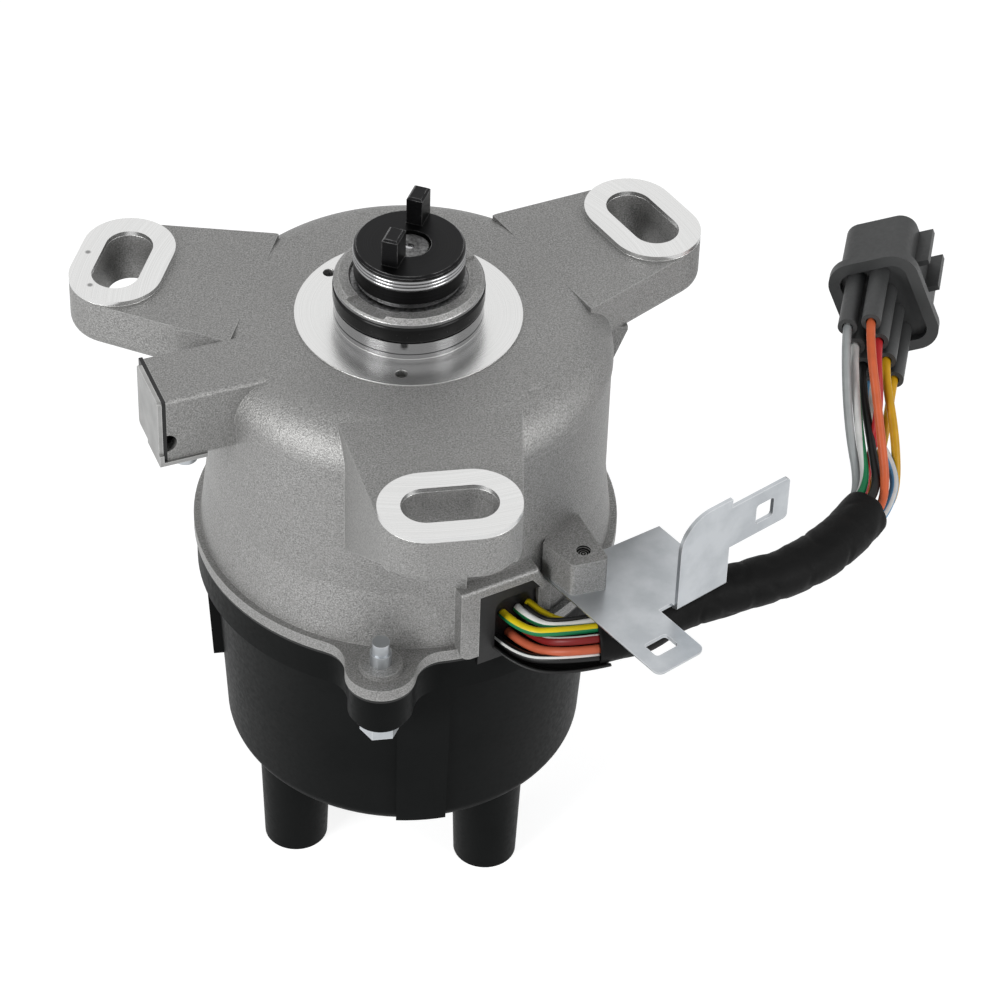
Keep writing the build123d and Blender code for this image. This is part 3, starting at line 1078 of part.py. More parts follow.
# Cap: a drafted cup with lugs, four towers, electrode posts and the brush holder
with BuildPart() as cap:
    with BuildSketch(Plane.XZ):
        with BuildLine():
            Line((0, CAP_TOP_Z), (CAP_RIM_R - CAP_WALL, CAP_TOP_Z))
            Line((CAP_RIM_R - CAP_WALL, CAP_TOP_Z), (CAP_WALL_TOP_R, CAP_TOP_Z - CAP_RIM_HEIGHT))
            Line((CAP_WALL_TOP_R, CAP_TOP_Z - CAP_RIM_HEIGHT), (CAP_WALL_FOOT_R, CAP_FOOT_Z + CAP_EDGE_R))
            RadiusArc(
                (CAP_WALL_FOOT_R, CAP_FOOT_Z + CAP_EDGE_R), (CAP_WALL_FOOT_R - CAP_EDGE_R, CAP_FOOT_Z),
                CAP_EDGE_R,
            )
            Line((CAP_WALL_FOOT_R - CAP_EDGE_R, CAP_FOOT_Z), (0, CAP_FOOT_Z))
            Line((0, CAP_FOOT_Z), (0, CAP_TOP_Z))
        make_face()
    revolve(axis=Axis.Z)
    # Rib and block on the wall
    rib_top_z = CAP_TOP_Z - CAP_RIM_HEIGHT + 1
    for angle, raise_by, half_arc, top_z, foot_z in (
        (CAP_RIB_ANGLE, CAP_RIB_RAISE, CAP_RIB_HALF_ARC, rib_top_z, CAP_FOOT_Z + CAP_RIB_FOOT),
        (CAP_BLOCK_ANGLE, CAP_BLOCK_RAISE, CAP_BLOCK_HALF_ARC, CAP_BLOCK_TOP_Z, CAP_BLOCK_FOOT_Z),
    ):
        with BuildSketch(Plane.XZ.rotated((0, 0, angle - half_arc))):
            with BuildLine():
                Polyline(
                    (CAP_WALL_FOOT_R - CAP_WALL, top_z), (cap_wall_r(top_z) + raise_by, top_z),
                    (cap_wall_r(foot_z) + raise_by, foot_z), (CAP_WALL_FOOT_R - CAP_WALL, foot_z),
                    close=True,
                )
            make_face()
        revolve(axis=Axis.Z, revolution_arc=2 * half_arc)
    # Towers
    with Locations(*[(*polar(TOWER_CIRCLE_R, a), TOWER_END_Z) for a in TOWER_ANGLES]):
        Cone(TOWER_R, TOWER_ROOT_R, CAP_FOOT_Z + 1 - TOWER_END_Z,
             align=(Align.CENTER, Align.CENTER, Align.MIN))
    # Inside, with the electrode posts and the brush holder left standing
    with BuildSketch(Plane.XZ):
        with BuildLine():
            Polyline(
                (0, CAP_TOP_Z), (CAP_WALL_TOP_R - CAP_WALL, CAP_TOP_Z),
                (CAP_WALL_FOOT_R - CAP_WALL, CAP_INNER_FOOT_Z), (BRUSH_HOLDER_R, CAP_INNER_FOOT_Z),
                (BRUSH_HOLDER_R, BRUSH_HOLDER_TOP_Z), (0, BRUSH_HOLDER_TOP_Z), close=True,
            )
        make_face()
    revolve(axis=Axis.Z, mode=Mode.SUBTRACT)
    for angle in TOWER_ANGLES:
        with BuildSketch(turned(angle, CAP_INNER_FOOT_Z - 1)):
            with Locations(((ELECTRODE_R + ELECTRODE_THICK + CAP_WALL_FOOT_R - 1) / 2, 0)):
                Rectangle(CAP_WALL_FOOT_R - 1 - ELECTRODE_R - ELECTRODE_THICK, ELECTRODE_WIDTH + 2)
        extrude(amount=ELECTRODE_TOP_Z - CAP_INNER_FOOT_Z)
    # Rim flange with the three lugs, whose feet stand a little lower
    with BuildSketch(Plane.XY.offset(CAP_TOP_Z)) as rim:
        flange_outline(FLANGE_R - CAP_RIM_R)
        fillet(rim.vertices(), LUG_BLEND_R)
        Circle(CAP_WALL_TOP_R - 1, mode=Mode.SUBTRACT)
    extrude(amount=-CAP_RIM_HEIGHT)
    with BuildSketch(Plane.XY.offset(CAP_TOP_Z - CAP_RIM_HEIGHT)):
        with Locations(*[polar(LUG_R, a) for a in LUG_ANGLES]):
            Circle(SCREW_WASHER_R + CAP_FOOT_MARGIN)
    extrude(amount=CAP_RIM_HEIGHT - CAP_LUG_HEIGHT)
    # Openings: lug holes, tower bores, electrode studs, brush bore, grommet notch
    with Locations(*[(*polar(LUG_R, a), CAP_TOP_Z) for a in LUG_ANGLES]):
        Hole(LUG_HOLE_R, CAP_LUG_HEIGHT)
    with Locations(*[(*polar(TOWER_CIRCLE_R, a), TOWER_END_Z) for a in TOWER_ANGLES]):
        for radius, depth in (
            (TOWER_BORE_R, TOWER_BORE_DEPTH), (TOWER_CUP_R, TOWER_BORE_DEPTH + TOWER_CUP_LENGTH),
            (STUD_R + SEAT_FIT, CAP_INNER_FOOT_Z - TOWER_END_Z),
        ):
            Cylinder(radius, depth, align=(Align.CENTER, Align.CENTER, Align.MIN), mode=Mode.SUBTRACT)
    with Locations((0, 0, BRUSH_HOLDER_TOP_Z)):
        Hole(BRUSH_BORE_R, BRUSH_HOLDER_TOP_Z - TERMINAL_FOOT_Z)
    with BuildSketch(turned(WINDOW_ANGLE, GROMMET_FOOT_Z - NOTCH_GAP)):
        grommet_notch()
    extrude(amount=CAP_TOP_Z - GROMMET_FOOT_Z + NOTCH_GAP, mode=Mode.SUBTRACT)
finish(cap, "distributor_cap")

# Electrodes inside the cap, each with a stud through the floor into its tower's cup
with BuildPart() as electrodes:
    for angle in TOWER_ANGLES:
        with BuildSketch(turned(angle, CAP_INNER_FOOT_Z)):
            with Locations((ELECTRODE_R + ELECTRODE_THICK / 2, 0)):
                Rectangle(ELECTRODE_THICK - 2 * SEAT_FIT, ELECTRODE_WIDTH)
        extrude(amount=ELECTRODE_TOP_Z - CAP_INNER_FOOT_Z - 1)
        with BuildSketch(Plane.XY.offset(TOWER_FLOOR_Z)):
            with Locations(polar(TOWER_CIRCLE_R, angle)):
                Circle(STUD_R)
        extrude(amount=CAP_INNER_FOOT_Z - TOWER_FLOOR_Z)
finish(electrodes, "cap_electrodes")

with BuildPart() as tower_cups:
    for angle in TOWER_ANGLES:
        with BuildSketch(Plane.XY.offset(TOWER_FLOOR_Z - TOWER_CUP_LENGTH)):
            with Locations(polar(TOWER_CIRCLE_R, angle)):
                Circle(TOWER_CUP_R - SEAT_FIT)
        extrude(amount=TOWER_CUP_LENGTH)
        with BuildSketch(Plane.XY.offset(TOWER_FLOOR_Z - TOWER_CUP_LENGTH)):
            with Locations(polar(TOWER_CIRCLE_R, angle)):
                Circle(TOWER_CUP_R - TOWER_CUP_WALL)
        extrude(amount=TOWER_CUP_LENGTH - TOWER_CUP_WALL, mode=Mode.SUBTRACT)
finish(tower_cups, "tower_terminals")

# Rotor with its electrode strip and clamping screw
with BuildPart() as rotor:
    with BuildSketch(Plane.XY.offset(ROTOR_FOOT_Z)):
        Circle(ROTOR_HUB_R)
    extrude(amount=ROTOR_TOP_Z - ROTOR_FOOT_Z)
    with BuildSketch(turned(ROTOR_ANGLE, ROTOR_FOOT_Z)):
        with Locations(((ROTOR_ARM_R - ROTOR_TAIL_R) / 2, 0)):
            RectangleRounded(ROTOR_ARM_R + ROTOR_TAIL_R, ROTOR_ARM_WIDTH, ROTOR_ARM_THICK / 2)
    extrude(amount=ROTOR_ARM_THICK)
    with BuildSketch(turned(ROTOR_ANGLE, SHAFT_LOWER_END_Z - ROTOR_END_GAP)):
        Circle(SHAFT_LOWER_R + SEAT_FIT)
        with Locations((-SHAFT_LOWER_R - SHAFT_LOWER_R + SHAFT_FLAT - SEAT_FIT, 0)):
            Rectangle(2 * SHAFT_LOWER_R, 3 * SHAFT_LOWER_R, mode=Mode.SUBTRACT)
    extrude(amount=ROTOR_TOP_Z - SHAFT_LOWER_END_Z + ROTOR_END_GAP, mode=Mode.SUBTRACT)
    with BuildSketch(facing(ROTOR_ANGLE + 180, SHAFT_LOWER_R - SHAFT_FLAT)):
        with Locations((0, ROTOR_SCREW_Z)):
            Circle(SMALL_SCREW_R)
    extrude(amount=ROTOR_HUB_R, mode=Mode.SUBTRACT)
    with BuildSketch(facing(ROTOR_ANGLE + 180, ROTOR_HUB_R - SMALL_HEAD)):
        with Locations((0, ROTOR_SCREW_Z)):
            Circle(SMALL_HEAD_R + RUNNING_FIT)
    extrude(amount=2 * SMALL_HEAD, mode=Mode.SUBTRACT)
finish(rotor, "rotor_body")

with BuildPart() as rotor_screw:
    with BuildSketch(facing(ROTOR_ANGLE + 180, SHAFT_LOWER_R - SHAFT_FLAT + SEAT_FIT)):
        with Locations((0, ROTOR_SCREW_Z)):
            Circle(SMALL_SCREW_R - SEAT_FIT)
    extrude(amount=ROTOR_HUB_R - SMALL_HEAD - SHAFT_LOWER_R + SHAFT_FLAT)
    with BuildSketch(facing(ROTOR_ANGLE + 180, ROTOR_HUB_R - SMALL_HEAD + SEAT_FIT)):
        with Locations((0, ROTOR_SCREW_Z)):
            Circle(SMALL_HEAD_R)
    extrude(amount=SMALL_HEAD)
finish(rotor_screw, "rotor_screw")

with BuildPart() as rotor_strip:
    with BuildSketch(turned(ROTOR_ANGLE, ROTOR_STRIP_Z)):
        Circle(ROTOR_STRIP_WIDTH / 2)
        with Locations((ROTOR_TIP_R / 2, 0)):
            Rectangle(ROTOR_TIP_R, ROTOR_STRIP_WIDTH)
    extrude(amount=ROTOR_STRIP)
finish(rotor_strip, "rotor_electrode")

# Carbon brush, its spring and the centre terminal in the brush holder
with BuildPart() as brush:
    with BuildSketch(Plane.XY.offset(BRUSH_FOOT_Z)):
        Circle(BRUSH_R)
    extrude(amount=BRUSH_LENGTH)
    fillet(brush.edges().group_by(Axis.Z)[-1], BRUSH_R / 2)
finish(brush, "carbon_brush")

with BuildPart() as brush_spring:
    with BuildLine():
        helix = Helix(BRUSH_SPRING_PITCH, BRUSH_SPRING_LENGTH - 2 * BRUSH_WIRE_R, BRUSH_R - 2 * BRUSH_WIRE_R,
                      center=(0, 0, BRUSH_FOOT_Z - BRUSH_SPRING_LENGTH + BRUSH_WIRE_R))
    with BuildSketch(Plane(origin=helix @ 0, z_dir=helix % 0)):
        Circle(BRUSH_WIRE_R)
    sweep(path=helix)
finish(brush_spring, "brush_spring")

with BuildPart() as terminal:
    with BuildSketch(Plane.XY.offset(TERMINAL_FOOT_Z)):
        Circle(BRUSH_R)
    extrude(amount=TERMINAL_THICK)
finish(terminal, "centre_terminal")

# Cap screws: washer, hexagon head, shank and a thinner tip that stands out above the flange
for index, angle in enumerate(LUG_ANGLES):
    lug_foot_z = CAP_TOP_Z - CAP_LUG_HEIGHT
    with BuildPart() as cap_screw:
        for radius, low_z, high_z in (
            (SCREW_WASHER_R, lug_foot_z - SCREW_WASHER, lug_foot_z),
            (SCREW_R, lug_foot_z - SCREW_WASHER, SCREW_COLLAR_Z),
            (SCREW_TIP_R, SCREW_COLLAR_Z - 1, SCREW_TIP_Z),
        ):
            with BuildSketch(Plane.XY.offset(low_z)):
                with Locations(polar(LUG_R, angle)):
                    Circle(radius)
            extrude(amount=high_z - low_z)
        with BuildSketch(Plane.XY.offset(lug_foot_z - SCREW_WASHER - SCREW_HEAD)):
            with Locations(polar(LUG_R, angle)):
                RegularPolygon(SCREW_HEX_ACROSS / 2, 6, major_radius=False)
        extrude(amount=SCREW_HEAD)
    finish(cap_screw, f"cap_screw_{index + 1}")

# Side chamber's gasket and cover, with a foot folded under the chamber and its screw
chamber_face = Plane(origin=(*CHAMBER_END, -ROOF_DROP - CHAMBER_HEIGHT / 2),
                     x_dir=(-chamber_axis[1], chamber_axis[0], 0), z_dir=chamber_axis)
with BuildPart() as side_gasket:
    with BuildSketch(chamber_face):
        Rectangle(CHAMBER_WIDTH, CHAMBER_HEIGHT)
        Rectangle(CHAMBER_WIDTH - 2 * CHAMBER_WALL, CHAMBER_HEIGHT - 2 * CHAMBER_WALL, mode=Mode.SUBTRACT)
    extrude(amount=SIDE_GASKET_THICK)
finish(side_gasket, "side_gasket")

foot_z = -CHAMBER_HEIGHT - SEAT_FIT
foot_y = CHAMBER_WIDTH / 2 + SIDE_FOOT_PROUD - SIDE_FOOT_WIDTH / 2
cover_face_x = SIDE_GASKET_THICK + SIDE_COVER_THICK
with BuildPart() as side_cover:
    with BuildSketch(chamber_face.offset(SIDE_GASKET_THICK)):
        with Locations(((CHAMBER_WIDTH - SIDE_COVER_WIDTH) / 2, 0)):
            RectangleRounded(SIDE_COVER_WIDTH, CHAMBER_HEIGHT, SIDE_COVER_EDGE_R)
    extrude(amount=SIDE_COVER_THICK)
    with BuildSketch(chamber_plane.offset(foot_z - SIDE_COVER_THICK)):
        with Locations((cover_face_x - SIDE_FOOT_LENGTH / 2, foot_y)):
            Rectangle(SIDE_FOOT_LENGTH, SIDE_FOOT_WIDTH)
    extrude(amount=SIDE_COVER_THICK)
    with BuildSketch(chamber_plane.offset(foot_z)):
        with Locations((cover_face_x - SIDE_COVER_THICK / 2, foot_y)):
            Rectangle(SIDE_COVER_THICK, SIDE_FOOT_WIDTH)
    extrude(amount=2 * SIDE_COVER_EDGE_R)
    with BuildSketch(chamber_plane.offset(foot_z)):
        with Locations(SIDE_SCREW):
            Circle(SMALL_SCREW_R + RUNNING_FIT)
    extrude(amount=-SIDE_COVER_THICK, mode=Mode.SUBTRACT)
finish(side_cover, "side_cover")

side_spot = chamber_plane.from_local_coords((*SIDE_SCREW, 0))
side_under_z = -ROOF_DROP + foot_z - SIDE_COVER_THICK
small_screws([(side_spot.X, side_spot.Y)], side_under_z, SIDE_COVER_THICK, "side_screw")

# Grommet in the window, with its open recess for the leads
with BuildPart() as grommet:
    with BuildSketch(facing(WINDOW_ANGLE, GROMMET_BACK)):
        window_outline(SEAT_FIT, GROMMET_FOOT_Z)
    extrude(amount=GROMMET_FACE - GROMMET_BACK)
    with BuildSketch(facing(WINDOW_ANGLE, GROMMET_FACE)) as recess:
        with BuildLine():
            Polyline(
                (GROMMET_RECESS_LEFT, RECESS_FOOT_Z), (GROMMET_RECESS_LEFT, RECESS_TOP_Z),
                (WINDOW_RIGHT + 1, RECESS_TOP_Z), (WINDOW_RIGHT + 1, RECESS_FOOT_Z), close=True,
            )
        make_face()
        fillet(recess.vertices(), RECESS_EDGE_R)
    extrude(amount=-GROMMET_RECESS_DEPTH, mode=Mode.SUBTRACT)
finish(grommet, "wire_grommet")

# Sheet bracket: a plate under the boss with a slotted tongue, and a bent-up tab with a slotted arm
boss_along = BOSS_HOLE[0] * cos(radians(BRACKET_ANGLE)) + BOSS_HOLE[1] * sin(radians(BRACKET_ANGLE))
boss_side = BOSS_HOLE[1] * cos(radians(BRACKET_ANGLE)) - BOSS_HOLE[0] * sin(radians(BRACKET_ANGLE))
with BuildPart() as bracket:
    with BuildSketch(turned(BRACKET_ANGLE, PLATE_Z - SHEET)) as plate:
        plate_outline(0)
        with BuildLine():
            Polyline(
                (BRACKET_LEFT, -BRACKET_BEND), (BRACKET_LEFT, -BRACKET_TONGUE_END),
                (BRACKET_TONGUE_RIGHT, -BRACKET_TONGUE_END), (BRACKET_TONGUE_RIGHT, -BRACKET_BEND),
                close=True,
            )
        make_face()
        with Locations(((BRACKET_TONGUE_RIGHT + BRACKET_TAB_LEFT) / 2, -BRACKET_BEND)):
            Rectangle(BRACKET_TAB_LEFT - BRACKET_TONGUE_RIGHT, 2 * RELIEF_DEPTH, mode=Mode.SUBTRACT)
        fillet(plate.vertices().group_by(Axis.Y)[0], TONGUE_EDGE_R)
        left, right, near, far = TONGUE_SLOT
        with Locations(((left + right) / 2, -(near + far) / 2)):
            RectangleRounded(right - left, far - near, SLOT_EDGE_R, mode=Mode.SUBTRACT)
        with Locations((boss_along, boss_side)):
            Circle(BOSS_HOLE_R + RUNNING_FIT, mode=Mode.SUBTRACT)
    extrude(amount=SHEET)
    with BuildSketch(Plane(origin=(*at(BRACKET_ANGLE, 0, -BRACKET_BEND), 0),
                           x_dir=(cos(radians(BRACKET_ANGLE)), sin(radians(BRACKET_ANGLE)), 0),
                           z_dir=(sin(radians(BRACKET_ANGLE)), -cos(radians(BRACKET_ANGLE)), 0))) as tab:
        with BuildLine():
            Polyline(
                (BRACKET_TAB_LEFT, PLATE_Z - SHEET), (BRACKET_TAB_LEFT, BRACKET_TAB_TOP_Z),
                (BRACKET_RIGHT, BRACKET_TAB_TOP_Z), (BRACKET_RIGHT, BRACKET_ARM_TOP_Z),
                (BRACKET_ARM_END, BRACKET_ARM_TOP_Z), (BRACKET_ARM_END, BRACKET_ARM_FOOT_Z),
                (BRACKET_RIGHT, BRACKET_ARM_FOOT_Z), (BRACKET_RIGHT, PLATE_Z - SHEET), close=True,
            )
        make_face()
        top_corners = tab.vertices().filter_by(lambda v: v.Z > BRACKET_TAB_TOP_Z - 0.1)
        fillet(top_corners.sort_by(Axis.X)[0], BRACKET_TAB_EDGE_R)
        fillet(tab.vertices().sort_by(Axis.X)[-2:], BRACKET_ARM_EDGE_R)
        left, right, low, high = ARM_SLOT
        with Locations(((left + right) / 2, (low + high) / 2)):
            RectangleRounded(right - left, high - low, SLOT_EDGE_R, mode=Mode.SUBTRACT)
    extrude(amount=-SHEET)
    bend_edges = bracket.edges().filter_by(
        lambda e: abs(e.length - (BRACKET_RIGHT - BRACKET_TAB_LEFT)) < SHEET and e.center().Z < PLATE_Z + 0.1
        and hypot(e.center().X, e.center().Y) > BRACKET_BEND)
    fillet(bend_edges.group_by(Axis.Z)[0], BEND_OUTER_R)
finish(bracket, "harness_bracket")

with BuildPart() as bracket_screw:
    for radius, low_z, high_z in (
        (BRACKET_HEAD_R, PLATE_Z - SHEET - BRACKET_HEAD, PLATE_Z - SHEET),
        (BOSS_HOLE_R - SEAT_FIT, PLATE_Z - SHEET, BOSS_TOP_Z - SHEET),
    ):
        with BuildSketch(Plane.XY.offset(low_z)):
            with Locations(BOSS_HOLE):
                Circle(radius)
        extrude(amount=high_z - low_z)
finish(bracket_screw, "bracket_screw")


def tube(points, radius):
    """A round cord along its route, with an arc at each corner; a part's content."""
    vectors = [Vector(*point) for point in points]
    radii = []
    for before, corner, after in zip(vectors, vectors[1:], vectors[2:]):
        half_turn = radians((corner - before).get_angle(after - corner)) / 2
        radii.append(BEND_SHARE * min((corner - before).length, (after - corner).length) / tan(half_turn))
    with BuildLine():
        route = FilletPolyline(*vectors, radius=radii)
    with BuildSketch(Plane(origin=route @ 0, z_dir=route % 0)) as section:
        Circle(radius)
    sweep(section.sketch, path=route)
    print("cord: length", round(route.length, 1), "tightest bend", round(min(radii), 1))


# Leads from the grommet, the taped sleeve, and the wires from the sleeve to the connector
with BuildPart() as inner_leads:
    for points in INNER_LEAD_ROUTES:
        tube(points, LEAD_R)
finish(inner_leads, "inner_leads")

with BuildPart() as sleeve:
    tube(SLEEVE_ROUTE, SLEEVE_HOSE_R)
finish(sleeve, "harness_sleeve")

with BuildPart() as outer_wires:
    for points in OUTER_WIRE_ROUTES:
        tube(points, LEAD_R)
finish(outer_wires, "outer_wires")

# Connector: a shell with a rear collar and rails, its boots and its pins
connector_plane = Plane(origin=CONNECTOR_ORIGIN, x_dir=CONNECTOR_X, z_dir=CONNECTOR_Z)
boot_spots = [(BOOT_SHIFT + column * BOOT_PITCH_X, row * BOOT_PITCH_Y)
              for column in (-0.5, 0.5) for row in (-1.5, -0.5, 0.5, 1.5)]
with BuildPart() as connector:
    with BuildSketch(connector_plane):
        RectangleRounded(CONNECTOR_WIDTH, CONNECTOR_HEIGHT, CONNECTOR_CORNER_R)
    extrude(amount=CONNECTOR_LENGTH)
    with BuildSketch(connector_plane):
        RectangleRounded(CONNECTOR_WIDTH + 2 * CONNECTOR_SKIRT, CONNECTOR_HEIGHT + 2 * CONNECTOR_SKIRT,
                         CONNECTOR_CORNER_R + CONNECTOR_SKIRT)
    extrude(amount=CONNECTOR_SKIRT_LENGTH)
    for place in RAIL_PLACES:
        with BuildSketch(connector_plane.offset(CONNECTOR_LENGTH - RAIL_LENGTH)):
            with Locations((CONNECTOR_WIDTH / 2 + RAIL_HEIGHT / 2 - 1, place)):
                Rectangle(RAIL_HEIGHT + 2, RAIL_THICK)
        extrude(amount=RAIL_LENGTH)
    with BuildSketch(connector_plane):
        RectangleRounded(CONNECTOR_WIDTH - 2 * CONNECTOR_REAR_WALL,
                         CONNECTOR_HEIGHT - 2 * CONNECTOR_REAR_WALL,
                         CONNECTOR_CORNER_R - CONNECTOR_REAR_WALL)
    extrude(amount=CONNECTOR_RECESS, mode=Mode.SUBTRACT)
    with BuildSketch(connector_plane.offset(CONNECTOR_LENGTH)):
        RectangleRounded(CONNECTOR_WIDTH - 2 * CONNECTOR_WALL, CONNECTOR_HEIGHT - 2 * CONNECTOR_WALL,
                         CONNECTOR_CORNER_R - CONNECTOR_WALL)
    extrude(amount=-CONNECTOR_MOUTH, mode=Mode.SUBTRACT)
finish(connector, "connector_shell")

with BuildPart() as pins:
    with BuildSketch(connector_plane.offset(CONNECTOR_LENGTH - CONNECTOR_MOUTH)):
        with Locations(*boot_spots):
            Rectangle(PIN_SIDE, PIN_SIDE)
    extrude(amount=PIN_REACH)
finish(pins, "connector_pins")

with BuildPart() as boots:
    with BuildSketch(connector_plane.offset(CONNECTOR_RECESS)):
        with Locations(*boot_spots):
            Circle(BOOT_R)
    extrude(amount=-BOOT_LENGTH - CONNECTOR_RECESS)
    with BuildSketch(connector_plane.offset(-BOOT_LENGTH)):
        with Locations(*boot_spots):
            Circle(BOOT_BORE_R)
    extrude(amount=BOOT_BORE_DEPTH, mode=Mode.SUBTRACT)
finish(boots, "wire_seals")
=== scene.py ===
import json
from math import cos, pi, sin

import bmesh
import bpy
from mathutils import Matrix, Vector, noise
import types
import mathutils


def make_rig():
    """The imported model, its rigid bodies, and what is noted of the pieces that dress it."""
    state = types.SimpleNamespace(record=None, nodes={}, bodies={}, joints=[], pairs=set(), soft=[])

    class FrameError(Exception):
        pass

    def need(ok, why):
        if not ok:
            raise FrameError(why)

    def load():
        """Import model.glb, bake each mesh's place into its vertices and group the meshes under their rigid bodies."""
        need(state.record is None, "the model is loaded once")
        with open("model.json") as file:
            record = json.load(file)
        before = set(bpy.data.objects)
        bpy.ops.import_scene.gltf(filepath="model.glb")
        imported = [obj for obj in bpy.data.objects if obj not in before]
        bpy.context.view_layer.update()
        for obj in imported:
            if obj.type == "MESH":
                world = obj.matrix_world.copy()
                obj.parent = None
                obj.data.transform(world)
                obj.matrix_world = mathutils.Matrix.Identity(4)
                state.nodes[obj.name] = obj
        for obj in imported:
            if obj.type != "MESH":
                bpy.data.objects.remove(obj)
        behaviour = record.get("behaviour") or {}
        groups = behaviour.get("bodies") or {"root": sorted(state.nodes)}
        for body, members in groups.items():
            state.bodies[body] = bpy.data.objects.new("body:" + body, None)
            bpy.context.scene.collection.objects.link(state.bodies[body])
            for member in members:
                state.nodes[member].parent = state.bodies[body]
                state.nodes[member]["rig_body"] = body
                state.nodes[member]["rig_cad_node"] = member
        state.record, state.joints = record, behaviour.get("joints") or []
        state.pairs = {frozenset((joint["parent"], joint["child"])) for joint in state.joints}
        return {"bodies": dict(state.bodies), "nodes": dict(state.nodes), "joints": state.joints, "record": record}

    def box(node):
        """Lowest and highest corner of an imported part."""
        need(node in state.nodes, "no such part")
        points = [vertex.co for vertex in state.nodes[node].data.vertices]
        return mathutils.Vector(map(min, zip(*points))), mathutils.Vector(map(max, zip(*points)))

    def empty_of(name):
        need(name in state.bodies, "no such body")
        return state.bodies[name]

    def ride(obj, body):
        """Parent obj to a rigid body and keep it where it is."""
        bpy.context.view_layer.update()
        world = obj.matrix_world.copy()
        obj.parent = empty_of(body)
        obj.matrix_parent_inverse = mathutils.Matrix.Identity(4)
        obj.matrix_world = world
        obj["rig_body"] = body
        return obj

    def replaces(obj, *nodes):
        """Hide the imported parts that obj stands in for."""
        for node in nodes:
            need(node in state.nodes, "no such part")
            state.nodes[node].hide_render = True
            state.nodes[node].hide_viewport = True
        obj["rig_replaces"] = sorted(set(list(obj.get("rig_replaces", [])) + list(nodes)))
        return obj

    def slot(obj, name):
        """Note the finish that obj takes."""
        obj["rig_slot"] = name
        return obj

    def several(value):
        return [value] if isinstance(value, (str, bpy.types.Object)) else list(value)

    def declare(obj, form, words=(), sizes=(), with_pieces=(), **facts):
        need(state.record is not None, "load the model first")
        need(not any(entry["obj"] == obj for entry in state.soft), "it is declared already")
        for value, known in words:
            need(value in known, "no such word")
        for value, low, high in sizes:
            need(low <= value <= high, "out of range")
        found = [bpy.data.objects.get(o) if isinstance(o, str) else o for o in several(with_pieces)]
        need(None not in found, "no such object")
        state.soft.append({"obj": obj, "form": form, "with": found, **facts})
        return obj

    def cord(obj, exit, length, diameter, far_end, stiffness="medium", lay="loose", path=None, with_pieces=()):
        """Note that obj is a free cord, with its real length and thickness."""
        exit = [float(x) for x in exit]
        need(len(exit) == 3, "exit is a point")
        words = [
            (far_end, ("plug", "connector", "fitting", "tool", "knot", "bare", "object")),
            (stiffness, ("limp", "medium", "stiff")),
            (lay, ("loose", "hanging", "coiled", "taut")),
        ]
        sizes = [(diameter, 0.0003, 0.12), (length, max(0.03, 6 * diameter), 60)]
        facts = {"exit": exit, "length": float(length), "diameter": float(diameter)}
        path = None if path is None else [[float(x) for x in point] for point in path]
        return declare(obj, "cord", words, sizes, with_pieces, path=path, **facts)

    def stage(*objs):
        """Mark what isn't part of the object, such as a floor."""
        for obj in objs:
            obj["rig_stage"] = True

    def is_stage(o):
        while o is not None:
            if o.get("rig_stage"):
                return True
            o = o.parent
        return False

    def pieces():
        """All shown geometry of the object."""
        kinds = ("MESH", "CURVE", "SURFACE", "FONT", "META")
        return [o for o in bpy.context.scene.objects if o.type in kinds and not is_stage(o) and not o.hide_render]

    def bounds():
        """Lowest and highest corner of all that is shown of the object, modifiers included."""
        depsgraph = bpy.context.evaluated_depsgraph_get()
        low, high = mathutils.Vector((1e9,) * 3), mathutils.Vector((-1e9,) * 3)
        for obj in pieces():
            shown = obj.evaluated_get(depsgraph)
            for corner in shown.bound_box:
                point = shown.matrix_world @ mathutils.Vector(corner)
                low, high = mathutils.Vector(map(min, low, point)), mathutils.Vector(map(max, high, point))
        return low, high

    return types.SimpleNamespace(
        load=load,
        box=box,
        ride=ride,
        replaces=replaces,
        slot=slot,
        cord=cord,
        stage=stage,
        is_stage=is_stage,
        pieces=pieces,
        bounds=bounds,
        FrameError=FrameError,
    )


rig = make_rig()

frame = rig.load()
cad_bounds = [list(corner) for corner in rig.bounds()]

MM = 0.001

# Camera, solved from the photograph's circles and edges: place in metres, axes, and lens in millimetres
CAMERA_PLACE = (-0.09444, -0.66171, 0.53786)
CAMERA_RIGHT = (0.9884, -0.1495, 0.0273)
CAMERA_UP = (0.0791, 0.6595, 0.7475)
CAMERA_LENS = 139.08
SENSOR_WIDTH = 36.0

# The casting's sand-blasted tones and its machined ones, linear
CAST_DARK = (0.158, 0.157, 0.154)
CAST_LIGHT = (0.350, 0.348, 0.341)
CAST_MIDDLE = (0.245, 0.243, 0.237)
CAST_EDGE = (0.50, 0.50, 0.49)
MACHINED_DARK = (0.57, 0.57, 0.565)
MACHINED_LIGHT = (0.65, 0.65, 0.645)
# The spigot wall's tone: the ring's turned metal made darker, a painted shade standing in for the dark surroundings it
# mirrors
SPIGOT_SHADE_TONE = (0.30, 0.30, 0.303)

# Heights and distances in metres, each pair the span over which one look turns into the next
RING_LEVEL = (-0.00022, -0.00012)
SPIGOT_FOOT = (0.00005, 0.00015)
SPIGOT_RIM = (0.0093, 0.0096)
SPIGOT_WALL = (0.0172, 0.0176)
PUNCH_SHADE_SPAN = (0.0004, 0.0008)
TAPPED_WALL = (0.00166, 0.00172)
# The span from the spring's painted shade between turns to its painted highlight on the outer crest
SPRING_SHADE_TO_HIGHLIGHT = (0.01214, 0.01244)

